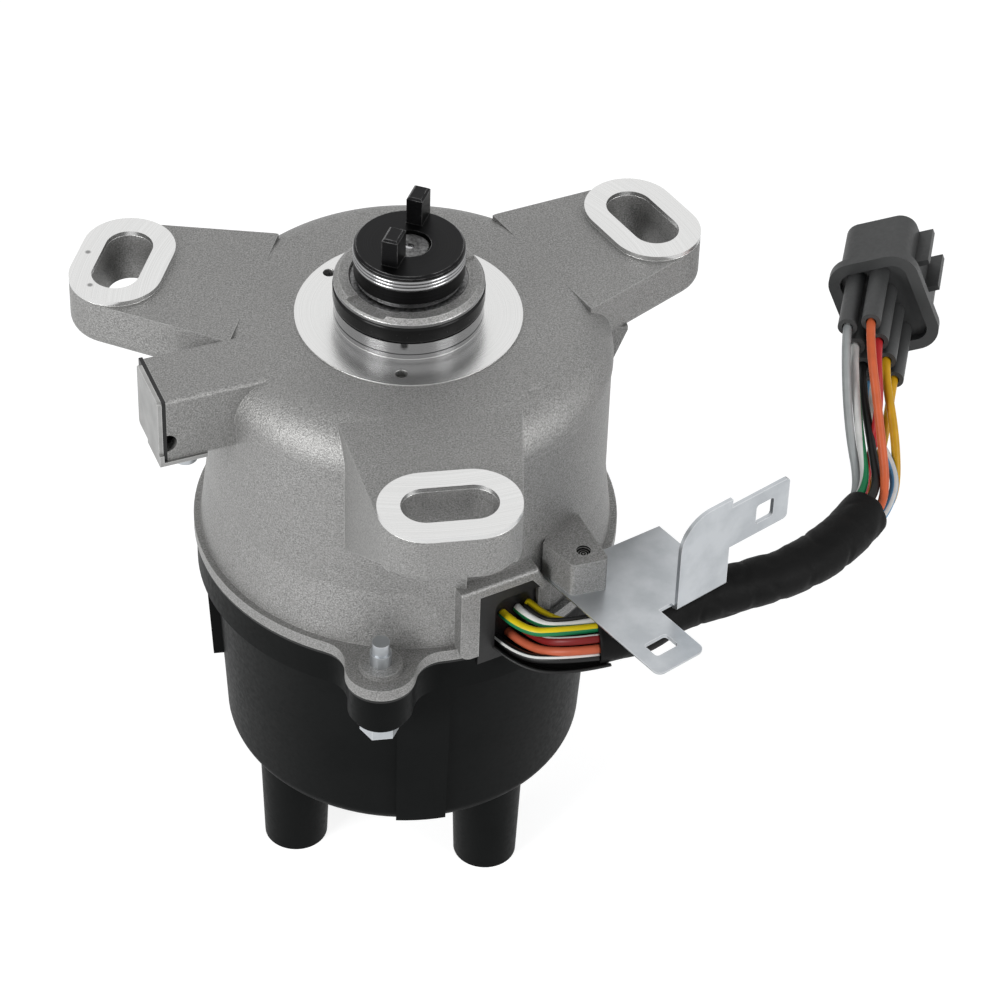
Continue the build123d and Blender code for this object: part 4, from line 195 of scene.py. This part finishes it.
# Places of small punch marks on the casting, drawn as painted shade in their dimples, and the pitch of the thread's
# painted shade bands and of the painted shade rings on the screw's end
PUNCH_PLACES = ((-0.0689, 0.0282), (-0.0693, 0.0163))
TAPPED_HOLE = (0.0338, -0.0424)
THREAD_SHADE_PITCH = 0.0007
SCREW_SHADE_RING_PITCH = 0.00055
SCREW_END_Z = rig.box("bracket_screw")[1].z
SCREW_SHADED_END = (SCREW_END_Z - 0.0016, SCREW_END_Z - 0.0014)

# Studio: the floor's own tone and its glow for the rays that see it, the surround, and the lamps' places,
# sizes in metres and power in watts
FLOOR_SIZE = 6.0
FLOOR_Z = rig.box("distributor_cap")[0].z
FLOOR_TONE = (0.38, 0.38, 0.38, 1.0)
FLOOR_GLOW = (0.84, 0.84, 0.84, 1.0)
SURROUND_COLOUR = (0.9, 0.93, 0.96, 1.0)
SURROUND_STRENGTH = 0.28
WHITE = (1.0, 1.0, 1.0, 1.0)
LAMPS = (
    ("key_light", (-0.87, -0.58, 0.34), 0.5, 10.0),
    ("fill_light", (0.80, -0.67, 0.36), 0.5, 5.5),
    ("back_light", (0.13, 0.89, 0.80), 1.1, 1.0),
)
LAMPS_AIM = (0.0, 0.0, -0.05)

# Cords: radii and the routes' points in millimetres, as the CAD has them
WIRE_R = 1.05
WIRE_SIDES = 24
SLEEVE_R = 5.9
SLEEVE_SIDES = 48
SLEEVE_ROUTE = (
    (36.2, -51.2, -56.0), (44.6, -51.2, -55.6), (53.6, -44.9, -55.0), (63.2, -41.4, -54.8),
    (73.1, -38.9, -54.7), (82.5, -36.4, -54.7), (91.0, -31.4, -55.0), (98.4, -25.0, -55.2),
    (104.6, -17.8, -55.2),
)
# The sleeve's folds, creases and wrinkles: how many to a metre, and their depths in millimetres
FOLDS, CREASES, WRINKLES = 75.0, 130.0, 420.0
FOLD_DEPTH, CREASE_DEPTH, WRINKLE_DEPTH = 0.55, 0.30, 0.10

# The rubber skin behind the inner leads: its route, radius and thickness, and its arc in radians
LIP_ROUTE = ((18.0, -43.3, -57.6), (21.5, -49.6, -57.4), (29.5, -52.4, -56.6), (38.0, -51.4, -56.0))
LIP_R = 6.3
LIP_THICK = 0.7
LIP_ARC = 3.6
LIP_STEPS = 16

# Sides of a wire that its second colour starts from
TO_FRONT = (-0.1, -0.8, 0.6)
TO_UNDERSIDE = (0.05, -0.9, -0.42)
TO_TOP = (0.0, -0.35, 0.94)
# Each wire: name, colour, second colour with its share of the round, its side and its twist in turns, route
INNER_LEADS = (
    ("lead_yellow", "yellow", None,
     ((22.3, -39.7, -53.9), (25.1, -44.7, -53.9), (30.7, -47.6, -54.2), (36.2, -47.6, -53.9))),
    ("lead_white_green", "white", ("green", 0.42, TO_UNDERSIDE, 0.0),
     ((19.6, -40.7, -54.2), (22.8, -46.6, -54.2), (29.7, -49.4, -52.7), (36.2, -49.4, -52.4))),
    ("lead_yellow_green", "yellow", ("green", 0.42, TO_UNDERSIDE, 0.0),
     ((16.0, -42.0, -54.2), (19.9, -49.1, -54.2), (28.4, -51.7, -52.4), (36.2, -51.7, -52.0))),
    ("lead_red_white", "dark_red", ("white", 0.09, TO_TOP, 0.0),
     ((19.3, -40.8, -58.2), (23.2, -47.6, -58.2), (28.5, -53.9, -53.6), (36.2, -53.9, -53.2))),
    ("lead_orange", "salmon", None,
     ((17.6, -41.4, -60.6), (21.4, -47.8, -60.6), (28.4, -55.0, -55.8), (36.2, -55.0, -55.4))),
    ("lead_black_white", "black", ("white", 0.09, TO_FRONT, 0.0),
     ((14.6, -42.5, -61.2), (18.6, -49.6, -61.2), (27.7, -55.0, -58.0), (36.2, -55.0, -57.6))),
)
OUTER_WIRES = (
    ("wire_grey", "grey", None,
     ((101.7, -15.3, -54.5), (105.0, -11.5, -54.5), (103.3, -1.0, -42.7), (104.3, 12.4, -27.6),
      (106.6, 19.0, -27.9))),
    ("wire_white_green", "white", ("green", 0.5, TO_FRONT, 0.5),
     ((102.9, -16.3, -52.0), (106.2, -12.6, -52.0), (105.7, -3.0, -44.0), (106.4, 11.7, -32.8),
      (108.7, 18.1, -33.1))),
    ("wire_black", "black", None,
     ((105.1, -18.2, -51.4), (108.4, -14.5, -51.4), (108.6, -4.5, -46.9), (108.5, 10.7, -38.0),
      (110.8, 17.1, -38.3))),
    ("wire_blue_white", "blue", ("white", 0.13, TO_FRONT, 0.0),
     ((107.5, -20.3, -55.9), (110.8, -16.5, -55.9), (114.0, -9.6, -51.8), (109.6, 1.3, -45.8),
      (110.6, 9.7, -43.2), (112.9, 16.2, -43.5))),
    ("wire_orange", "orange", None,
     ((107.0, -19.9, -53.0), (110.3, -16.1, -53.0), (109.9, -4.1, -39.9), (109.4, 11.0, -25.3),
      (111.6, 17.4, -25.6))),
    ("wire_red", "red", None,
     ((102.2, -15.7, -57.4), (105.4, -11.9, -57.4), (106.9, -8.2, -54.6), (111.3, 1.1, -40.6),
      (111.5, 10.1, -30.5), (113.7, 16.5, -30.8))),
    ("wire_amber", "amber", None,
     ((106.3, -19.3, -58.4), (109.6, -15.5, -58.4), (114.1, -10.5, -56.3), (114.7, -2.2, -45.9),
      (113.6, 9.1, -35.7), (115.8, 15.5, -36.0))),
    ("wire_amber_green", "amber", ("green", 0.25, TO_FRONT, 0.4),
     ((104.1, -17.4, -59.0), (107.3, -13.6, -59.0), (108.4, -8.5, -58.3), (112.4, -0.9, -50.5),
      (115.7, 8.1, -40.9), (117.9, 14.5, -41.2))),
)

# Insulation colours, linear
WIRE_COLOURS = {
    "yellow": (0.78, 0.60, 0.01),
    "amber": (0.74, 0.40, 0.012),
    "white": (0.78, 0.78, 0.76),
    "green": (0.010, 0.20, 0.075),
    "red": (0.55, 0.025, 0.03),
    "dark_red": (0.20, 0.012, 0.012),
    "salmon": (0.56, 0.125, 0.06),
    "orange": (0.72, 0.145, 0.052),
    "blue": (0.13, 0.36, 0.62),
    "grey": (0.40, 0.42, 0.42),
    "black": (0.010, 0.010, 0.010),
}


class Graph:
    """A material's node tree with short calls for the nodes that these materials use."""

    def __init__(self, name):
        self.material = bpy.data.materials.new(name)
        self.material.use_nodes = True
        self.tree = self.material.node_tree
        self.shader = self.tree.nodes["Principled BSDF"]
        self.coords = self.tree.nodes.new("ShaderNodeTexCoord").outputs["Object"]

    def feed(self, socket, value):
        if isinstance(value, bpy.types.NodeSocket):
            self.tree.links.new(value, socket)
        else:
            socket.default_value = value

    def set(self, **values):
        """Sets or links the shader's own sockets; underscores stand for spaces."""
        for name, value in values.items():
            colour = (*value, 1.0) if isinstance(value, tuple) else value
            self.feed(self.shader.inputs[name.replace("_", " ")], colour)

    def math(self, operation, first, second=0.0):
        node = self.tree.nodes.new("ShaderNodeMath")
        node.operation = operation
        self.feed(node.inputs[0], first)
        self.feed(node.inputs[1], second)
        return node.outputs[0]

    def times(self, first, second):
        return self.math("MULTIPLY", first, second)

    def ramp(self, value, low, high):
        """0 below low and 1 above high, straight between them."""
        node = self.tree.nodes.new("ShaderNodeMapRange")
        self.feed(node.inputs["Value"], value)
        node.inputs["From Min"].default_value = low
        node.inputs["From Max"].default_value = high
        return node.outputs["Result"]

    def fade(self, value, low, high):
        """1 below low and 0 above high."""
        return self.math("SUBTRACT", 1.0, self.ramp(value, low, high))

    def mix(self, factor, first, second):
        """A number or a colour between two others."""
        ends = [(*end, 1.0) if isinstance(end, tuple) else end for end in (first, second)]
        colours = any(isinstance(end, tuple) or getattr(end, "name", "") == "Color" for end in ends)
        node = self.tree.nodes.new("ShaderNodeMixRGB" if colours else "ShaderNodeMix")
        self.feed(node.inputs[0], factor)
        for socket, end in zip(node.inputs[1:3] if colours else node.inputs[2:4], ends):
            self.feed(socket, end)
        return node.outputs[0]

    def axes(self):
        """The object coordinates' x, y and z."""
        node = self.tree.nodes.new("ShaderNodeSeparateXYZ")
        self.feed(node.inputs[0], self.coords)
        return node.outputs

    def vector(self, x, y, z):
        node = self.tree.nodes.new("ShaderNodeCombineXYZ")
        for socket, value in zip(node.inputs, (x, y, z)):
            self.feed(socket, value)
        return node.outputs[0]

    def noise(self, scale, detail=3.0, at=None, roughness=0.55):
        node = self.tree.nodes.new("ShaderNodeTexNoise")
        self.feed(node.inputs["Vector"], at or self.coords)
        node.inputs["Scale"].default_value = scale
        node.inputs["Detail"].default_value = detail
        node.inputs["Roughness"].default_value = roughness
        return node.outputs[0]

    def bump(self, height, strength, distance):
        node = self.tree.nodes.new("ShaderNodeBump")
        node.inputs["Strength"].default_value = strength
        node.inputs["Distance"].default_value = distance
        self.feed(node.inputs["Height"], height)
        return node.outputs[0]

    def radius(self, centre=(0.0, 0.0)):
        """Distance from an upright line, the shaft's axis unless given."""
        x, y, _ = self.axes()
        x = self.math("SUBTRACT", x, centre[0])
        y = self.math("SUBTRACT", y, centre[1])
        return self.math("SQRT", self.math("ADD", self.times(x, x), self.times(y, y)))

    def turning_marks(self, scale):
        """Fine rings round the shaft's axis."""
        out = self.times(self.radius(), scale)
        up = self.times(self.axes()[2], scale)
        return self.noise(1.0, 4.0, at=self.vector(out, 0.0, up))

    def edge(self, width):
        """1 along sharp edges, 0 on faces."""
        round_off = self.tree.nodes.new("ShaderNodeBevel")
        round_off.samples = 4
        round_off.inputs["Radius"].default_value = width
        flat = self.tree.nodes.new("ShaderNodeNewGeometry")
        both = self.tree.nodes.new("ShaderNodeVectorMath")
        both.operation = "DOT_PRODUCT"
        self.feed(both.inputs[0], round_off.outputs[0])
        self.feed(both.inputs[1], flat.outputs["Normal"])
        return self.ramp(both.outputs["Value"], 0.995, 0.93)


def cast_aluminium():
    """Sand-blasted casting, machined bright on the ring, the spigot's wall and the ear pads; the spigot's wall takes a
    darker tone as painted shade, and the punch marks and the tapped hole's thread are painted shade.
    """
    g = Graph("cast_aluminium")
    z = g.axes()[2]
    machined = g.times(g.ramp(z, *RING_LEVEL), g.fade(z, *SPIGOT_RIM))
    wall = g.times(g.ramp(z, *SPIGOT_FOOT), g.fade(g.radius(), *SPIGOT_WALL))

    grain = g.noise(2900.0, 2.0, roughness=0.6)
    blotch = g.noise(110.0, 3.0)
    cast = g.mix(g.ramp(grain, 0.34, 0.66), CAST_DARK, CAST_LIGHT)
    cast = g.mix(g.times(g.ramp(blotch, 0.35, 0.65), 0.25), cast, CAST_MIDDLE)
    cast = g.mix(g.times(g.edge(0.0004), 0.45), cast, CAST_EDGE)
    # Painted shade and light in the tapped hole: near-black bands for the thread's grooves between lighter bands for
    # its crests
    turns = g.math("SINE", g.times(z, 2 * pi / THREAD_SHADE_PITCH))
    thread = g.mix(g.ramp(turns, 0.1, 0.7), (0.015, 0.015, 0.015), (0.34, 0.34, 0.33))
    cast = g.mix(g.fade(g.radius(TAPPED_HOLE), *TAPPED_WALL), cast, thread)

    turning = g.turning_marks(4200.0)
    bright = g.mix(g.ramp(turning, 0.3, 0.7), MACHINED_DARK, MACHINED_LIGHT)
    # Painted shade: the spigot's turned wall takes a darker tone than the same metal on the ring
    bright = g.mix(wall, bright, SPIGOT_SHADE_TONE)
    # Painted shade: a dark spot for each punched dimple on the machined face
    for spot in PUNCH_PLACES:
        punch_shade = g.fade(g.radius(spot), *PUNCH_SHADE_SPAN)
        bright = g.mix(g.times(punch_shade, 0.75), bright, (0.10, 0.10, 0.10))

    height = g.mix(machined, grain, g.times(turning, g.mix(wall, 0.08, 0.12)))
    g.set(Base_Color=g.mix(machined, cast, bright), Metallic=g.mix(machined, 0.75, 0.95),
          Roughness=g.mix(machined, 0.50, g.mix(wall, 0.27, 0.09)), Normal=g.bump(height, 1.0, 0.00016))
    return g.material


def plain_metal(name, dark, light, roughness, metallic=1.0, scale=500.0, bump=0.08, edge=None):
    """A metal with slight tone changes, fine surface texture and, where given, brighter edges."""
    g = Graph(name)
    tone = g.noise(scale, 4.0)
    soft = g.noise(60.0, 2.0)
    colour = g.mix(g.ramp(tone, 0.35, 0.65), dark, light)
    if edge:
        colour = g.mix(g.times(g.edge(0.0003), 0.7), colour, edge)
    g.set(Base_Color=colour, Metallic=metallic,
          Roughness=g.mix(g.ramp(soft, 0.3, 0.7), roughness - 0.05, roughness + 0.06),
          Normal=g.bump(tone, bump, 0.00005))
    return g.material


def turned_metal(name, dark, light, roughness, bump=0.25, edge=(0.24, 0.24, 0.24)):
    """Metal with turning marks round the shaft's axis and edges rubbed brighter."""
    g = Graph(name)
    rings = g.turning_marks(4500.0)
    colour = g.mix(g.ramp(rings, 0.3, 0.7), dark, light)
    rubbed = g.times(g.edge(0.0003), g.ramp(g.noise(300.0, 3.0), 0.35, 0.7))
    g.set(Base_Color=g.mix(rubbed, colour, edge), Metallic=1.0, Roughness=roughness,
          Normal=g.bump(rings, bump, 0.00004))
    return g.material


def spring_wire_painted_shade():
    """Wire in three turns, with a painted highlight along the outer crest and painted shade where one turn meets the
    next.
    """
    g = Graph("spring_wire_painted_shade")
    crest = g.ramp(g.radius(), *SPRING_SHADE_TO_HIGHLIGHT)
    g.set(Base_Color=g.mix(crest, (0.010, 0.010, 0.010), (0.34, 0.34, 0.345)), Metallic=1.0, Roughness=0.2)
    return g.material


def screw_painted_thread_shade():
    """The bracket screw: plated, with its thread's turns drawn on its end as rings of painted shade between lighter
    rings of painted light.
    """
    g = Graph("screw_painted_thread_shade")
    rings = g.math("SINE", g.times(g.radius(TAPPED_HOLE), 2 * pi / SCREW_SHADE_RING_PITCH))
    # Painted shade: near-black rings for the thread's grooves on the screw's end, lighter rings for its crests
    turns = g.mix(g.ramp(rings, 0.2, 0.9), (0.012, 0.012, 0.012), (0.36, 0.36, 0.35))
    inside = g.ramp(g.axes()[2], *SCREW_SHADED_END)
    g.set(Base_Color=g.mix(inside, (0.44, 0.44, 0.45), turns), Metallic=1.0, Roughness=0.28)
    return g.material


def moulded(name, dark, light, roughness, grain=900.0, bump=0.06, specular=0.5):
    """Plastic or rubber with a fine moulded grain and a little uneven sheen."""
    g = Graph(name)
    fine = g.noise(grain, 3.0)
    broad = g.noise(40.0, 3.0)
    g.set(Base_Color=g.mix(g.ramp(broad, 0.3, 0.7), dark, light),
          Roughness=g.mix(g.ramp(fine, 0.3, 0.7), roughness - 0.06, roughness + 0.06),
          Specular_IOR_Level=specular, Normal=g.bump(fine, bump, 0.00006))
    return g.material


def insulation(colour):
    """Smooth wire insulation with slight marks."""
    g = Graph(f"insulation_{colour}")
    base = WIRE_COLOURS[colour]
    worn = tuple(0.82 * part for part in base)
    marks = g.noise(260.0, 3.0)
    g.set(Base_Color=g.mix(g.ramp(marks, 0.3, 0.75), worn, base), Roughness=0.38,
          Specular_IOR_Level=0.25, Normal=g.bump(marks, 0.04, 0.0001))
    return g.material


# Each slot's maker, its darker and lighter tones, its roughness, and what differs from the maker's usual
SLOT_LOOKS = {
    "black_rubber": (moulded, (0.006, 0.006, 0.006), (0.010, 0.010, 0.010), 0.42, {"specular": 0.3}),
    "bright_steel": (plain_metal, (0.38, 0.38, 0.39), (0.50, 0.50, 0.51), 0.22, {}),
    # Painted shade: shaft_steel's tones sit below the steel's own grey, darkening the parts that take this slot as
    # though in shadow
    "shaft_steel": (plain_metal, (0.09, 0.09, 0.09), (0.24, 0.24, 0.24), 0.45,
                    {"scale": 1500.0, "bump": 0.3}),
    "black_steel": (turned_metal, (0.009, 0.009, 0.009), (0.016, 0.016, 0.017), 0.38, {}),
    "sintered_bronze": (plain_metal, (0.30, 0.20, 0.10), (0.42, 0.30, 0.16), 0.5, {}),
    "zinc_steel": (plain_metal, (0.40, 0.42, 0.44), (0.48, 0.50, 0.52), 0.34,
                   {"scale": 150.0, "bump": 0.04, "edge": (0.70, 0.71, 0.72)}),
    "cover_metal": (plain_metal, (0.27, 0.27, 0.265), (0.34, 0.34, 0.335), 0.40,
                    {"scale": 200.0, "edge": (0.62, 0.62, 0.61)}),
    "black_plastic": (moulded, (0.004, 0.0045, 0.0045), (0.007, 0.0075, 0.0075), 0.46, {"specular": 0.04}),
    "brass": (plain_metal, (0.55, 0.38, 0.14), (0.66, 0.48, 0.20), 0.28, {}),
    "carbon": (moulded, (0.012, 0.012, 0.013), (0.022, 0.022, 0.024), 0.6, {}),
    "connector_grey": (moulded, (0.046, 0.047, 0.047), (0.060, 0.061, 0.061), 0.5, {"specular": 0.35}),
    "sleeve_tape": (moulded, (0.004, 0.004, 0.004), (0.007, 0.007, 0.007), 0.58,
                    {"grain": 1500.0, "bump": 0.15, "specular": 0.09}),
}
MATERIALS = {slot: maker(slot, dark, light, roughness, **others)
             for slot, (maker, dark, light, roughness, others) in SLOT_LOOKS.items()}
MATERIALS["cast_aluminium"] = cast_aluminium()
# Pieces whose surface differs from the rest of their slot
NODE_MATERIALS = {
    "spigot_o_ring": moulded("glossy_rubber", (0.005, 0.005, 0.005), (0.008, 0.008, 0.008), 0.22,
                             specular=0.12),
    "coupling_spring": spring_wire_painted_shade(),
    "bracket_screw": screw_painted_thread_shade(),
}
COLOURS = {name: insulation(name) for name in WIRE_COLOURS}


def dress_nodes():
    """Gives each carried-over CAD node its slot's material; grey insulation stands in for the leads' slot."""
    for part in frame["record"]["subparts"]:
        mesh = frame["nodes"][part["node"]].data
        mesh.materials.clear()
        plain = MATERIALS.get(part["material_slot"], COLOURS["grey"])
        mesh.materials.append(NODE_MATERIALS.get(part["node"], plain))


def route_line(route):
    """Points along the smooth line that has a route's points as its control points, in metres."""
    curve = bpy.data.curves.new("route", "CURVE")
    curve.dimensions = "3D"
    curve.resolution_u = 24
    spline = curve.splines.new("NURBS")
    spline.points.add(len(route) - 1)
    for point, place in zip(spline.points, route):
        point.co = (*(MM * c for c in place), 1.0)
    spline.order_u = 3
    spline.use_endpoint_u = True
    holder = bpy.data.objects.new("route", curve)
    bpy.context.scene.collection.objects.link(holder)
    bpy.context.view_layer.update()
    line = bpy.data.meshes.new_from_object(holder.evaluated_get(bpy.context.evaluated_depsgraph_get()))
    points = [vertex.co.copy() for vertex in line.vertices]
    bpy.data.objects.remove(holder)
    return points


def line_length(points):
    return sum((b - a).length for a, b in zip(points, points[1:]))


def direction(points, index):
    """A line's direction at one of its points."""
    return (points[min(index + 1, len(points) - 1)] - points[max(index - 1, 0)]).normalized()


def over_rings(name, rings, materials, material_at=lambda turn: 0):
    """A smooth closed piece over rings of points, with its material given by the turn round a ring."""
    body = bmesh.new()
    rings = [[body.verts.new(point) for point in ring] for ring in rings]
    sides = len(rings[0])
    for first, second in zip(rings, rings[1:]):
        for side in range(sides):
            after = (side + 1) % sides
            face = body.faces.new((first[side], first[after], second[after], second[side]))
            face.smooth = True
            face.material_index = material_at((side + 0.5) / sides)
    body.faces.new(rings[0][::-1])
    body.faces.new(rings[-1])
    bmesh.ops.recalc_face_normals(body, faces=body.faces)
    mesh = bpy.data.meshes.new(name)
    body.to_mesh(mesh)
    body.free()
    for material in materials:
        mesh.materials.append(material)
    piece = bpy.data.objects.new(name, mesh)
    bpy.context.scene.collection.objects.link(piece)
    return piece


def skin_rings(points, sides, radius_at, side_from=(0.0, 0.0, 1.0), twist=0.0):
    """Rings along a line. Their turns count from the given side and may twist along the line."""
    normal = Vector(side_from)
    rings = []
    run = 0.0
    for index, point in enumerate(points):
        along = direction(points, index)
        normal = (normal - normal.dot(along) * along).normalized()
        across = along.cross(normal)
        if index:
            run += (point - points[index - 1]).length
        ring = []
        for side in range(sides):
            turn = side / sides
            angle = 2 * pi * (turn + twist * index / (len(points) - 1))
            out = cos(angle) * normal + sin(angle) * across
            ring.append(point + radius_at(run, turn) * out)
        rings.append(ring)
    return rings


def wire(name, colour, stripe, route, node):
    """One insulated wire, with a second colour along part of its round where it has one."""
    points = route_line(route)
    second, width, side, twist = stripe or (None, 0.0, TO_FRONT, 0.0)
    materials = [COLOURS[colour]] + ([COLOURS[second]] if second else [])

    def material_at(turn):
        return int(bool(second) and abs((turn + 0.5) % 1.0 - 0.5) < width / 2)

    rings = skin_rings(points, WIRE_SIDES, lambda run, turn: WIRE_R * MM, side, twist)
    piece = over_rings(name, rings, materials, material_at)
    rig.ride(piece, "casing")
    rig.slot(piece, "lead_insulation")
    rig.replaces(piece, node)
    return piece, points


def lip_rings(points):
    """Rings of a curved skin along a line, open towards the front, that the leads lie in."""
    rings = []
    for index, point in enumerate(points):
        along = direction(points, index)
        back = -Vector(TO_FRONT)
        back = (back - back.dot(along) * along).normalized()
        across = along.cross(back)
        ring = []
        outer = (LIP_R, range(LIP_STEPS + 1))
        inner = (LIP_R - LIP_THICK, range(LIP_STEPS, -1, -1))
        for reach, steps in (outer, inner):
            for step in steps:
                turn = (step / LIP_STEPS - 0.5) * LIP_ARC
                ring.append(point + reach * MM * (cos(turn) * back + sin(turn) * across))
        rings.append(ring)
    return rings


def sleeve_radius(run, turn):
    """The limp sleeve's radius: wide folds across it, with finer creases along them."""
    around = Vector((0.0, cos(2 * pi * turn), sin(2 * pi * turn)))
    wide = noise.noise(Vector((run * FOLDS, 0.0, 0.0)) + 0.9 * around)
    crease = 1.0 - abs(noise.noise(Vector((run * CREASES, 7.0, 3.0)) + 0.7 * around)) * 5.0
    fine = noise.noise(Vector((run * WRINKLES, 2.0, 9.0)) + 1.6 * around)
    return (SLEEVE_R - 0.1 + FOLD_DEPTH * wide - CREASE_DEPTH * max(crease, 0.0) + WRINKLE_DEPTH * fine) * MM


def harness():
    """The leads, the taped sleeve and the wires to the connector."""
    for name, colour, stripe, route in INNER_LEADS:
        wire(name, colour, stripe, route, "inner_leads")
    lip = over_rings("grommet_lip", lip_rings(route_line(LIP_ROUTE)), [MATERIALS["black_rubber"]])
    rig.ride(lip, "casing")
    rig.slot(lip, "black_rubber")
    sleeve_line = route_line(SLEEVE_ROUTE)
    sleeve_rings = skin_rings(sleeve_line, SLEEVE_SIDES, sleeve_radius)
    sleeve = over_rings("harness_sleeve_tape", sleeve_rings, [MATERIALS["sleeve_tape"]])
    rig.ride(sleeve, "casing")
    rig.slot(sleeve, "sleeve_tape")
    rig.replaces(sleeve, "harness_sleeve")
    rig.cord(sleeve, exit=sleeve_line[0], length=line_length(sleeve_line), diameter=2 * SLEEVE_R * MM,
            path=sleeve_line, far_end="bare", stiffness="stiff", lay="loose")
    on_end = [frame["nodes"][name] for name in ("connector_shell", "connector_pins", "wire_seals")]
    for name, colour, stripe, route in OUTER_WIRES:
        piece, points = wire(name, colour, stripe, route, "outer_wires")
        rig.cord(piece, exit=points[0], length=line_length(points), diameter=2 * WIRE_R * MM, path=points,
                far_end="connector", stiffness="medium", lay="loose", with_pieces=on_end)


def seen_rays(tree):
    """1 for the rays that show the background: straight, mirrored or through something clear."""
    path = tree.nodes.new("ShaderNodeLightPath")
    seen = path.outputs["Is Camera Ray"]
    for name in ("Is Glossy Ray", "Is Transmission Ray"):
        either = tree.nodes.new("ShaderNodeMath")
        either.operation = "MAXIMUM"
        tree.links.new(seen, either.inputs[0])
        tree.links.new(path.outputs[name], either.inputs[1])
        seen = either.outputs[0]
    return seen


def floor():
    """A pale floor that bounces little light and looks white where it is seen."""
    half = FLOOR_SIZE / 2
    corners = [(-half, -half), (half, -half), (half, half), (-half, half)]
    mesh = bpy.data.meshes.new("studio_floor")
    mesh.from_pydata([(x, y, FLOOR_Z) for x, y in corners], [], [(0, 1, 2, 3)])
    ground = bpy.data.objects.new("studio_floor", mesh)
    bpy.context.scene.collection.objects.link(ground)
    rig.stage(ground)

    white = bpy.data.materials.new("studio_white")
    white.use_nodes = True
    tree = white.node_tree
    shader = tree.nodes["Principled BSDF"]
    shader.inputs["Base Color"].default_value = FLOOR_TONE
    shader.inputs["Roughness"].default_value = 0.9
    glow = tree.nodes.new("ShaderNodeEmission")
    glow.inputs["Color"].default_value = FLOOR_GLOW
    tree.links.new(seen_rays(tree), glow.inputs["Strength"])
    blend = tree.nodes.new("ShaderNodeAddShader")
    tree.links.new(shader.outputs[0], blend.inputs[0])
    tree.links.new(glow.outputs[0], blend.inputs[1])
    tree.links.new(blend.outputs[0], tree.nodes["Material Output"].inputs["Surface"])
    mesh.materials.append(white)


def surround():
    """Weak light from all sides, and white where the surround is seen."""
    world = bpy.data.worlds.new("studio")
    bpy.context.scene.world = world
    world.use_nodes = True
    tree = world.node_tree
    light = tree.nodes["Background"]
    light.inputs["Color"].default_value = SURROUND_COLOUR
    light.inputs["Strength"].default_value = SURROUND_STRENGTH
    backdrop = tree.nodes.new("ShaderNodeBackground")
    backdrop.inputs["Color"].default_value = WHITE
    blend = tree.nodes.new("ShaderNodeMixShader")
    tree.links.new(seen_rays(tree), blend.inputs[0])
    tree.links.new(light.outputs[0], blend.inputs[1])
    tree.links.new(backdrop.outputs[0], blend.inputs[2])
    tree.links.new(blend.outputs[0], tree.nodes["World Output"].inputs["Surface"])


def lamps():
    """Soft square lamps, each turned to the object."""
    for name, place, size, power in LAMPS:
        data = bpy.data.lights.new(name, "AREA")
        data.size = size
        data.energy = power
        lamp = bpy.data.objects.new(name, data)
        lamp.location = place
        lamp.rotation_euler = (Vector(LAMPS_AIM) - Vector(place)).to_track_quat("-Z", "Y").to_euler()
        bpy.context.scene.collection.objects.link(lamp)


def camera():
    """The photograph's own camera."""
    data = bpy.data.cameras.new("camera")
    data.lens = CAMERA_LENS
    data.sensor_width = SENSOR_WIDTH
    holder = bpy.data.objects.new("camera", data)
    right = Vector(CAMERA_RIGHT)
    up = Vector(CAMERA_UP)
    turn = Matrix((right, up, right.cross(up))).transposed()
    holder.matrix_world = Matrix.Translation(CAMERA_PLACE) @ turn.to_4x4()
    bpy.context.scene.collection.objects.link(holder)
    bpy.context.scene.camera = holder


bpy.context.scene.view_settings.view_transform = "Standard"
dress_nodes()
harness()
floor()
surround()
lamps()
camera()

with open("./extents.json", "w") as sizes:
    json.dump({"cad": cad_bounds, "visual": [list(corner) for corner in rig.bounds()]}, sizes)
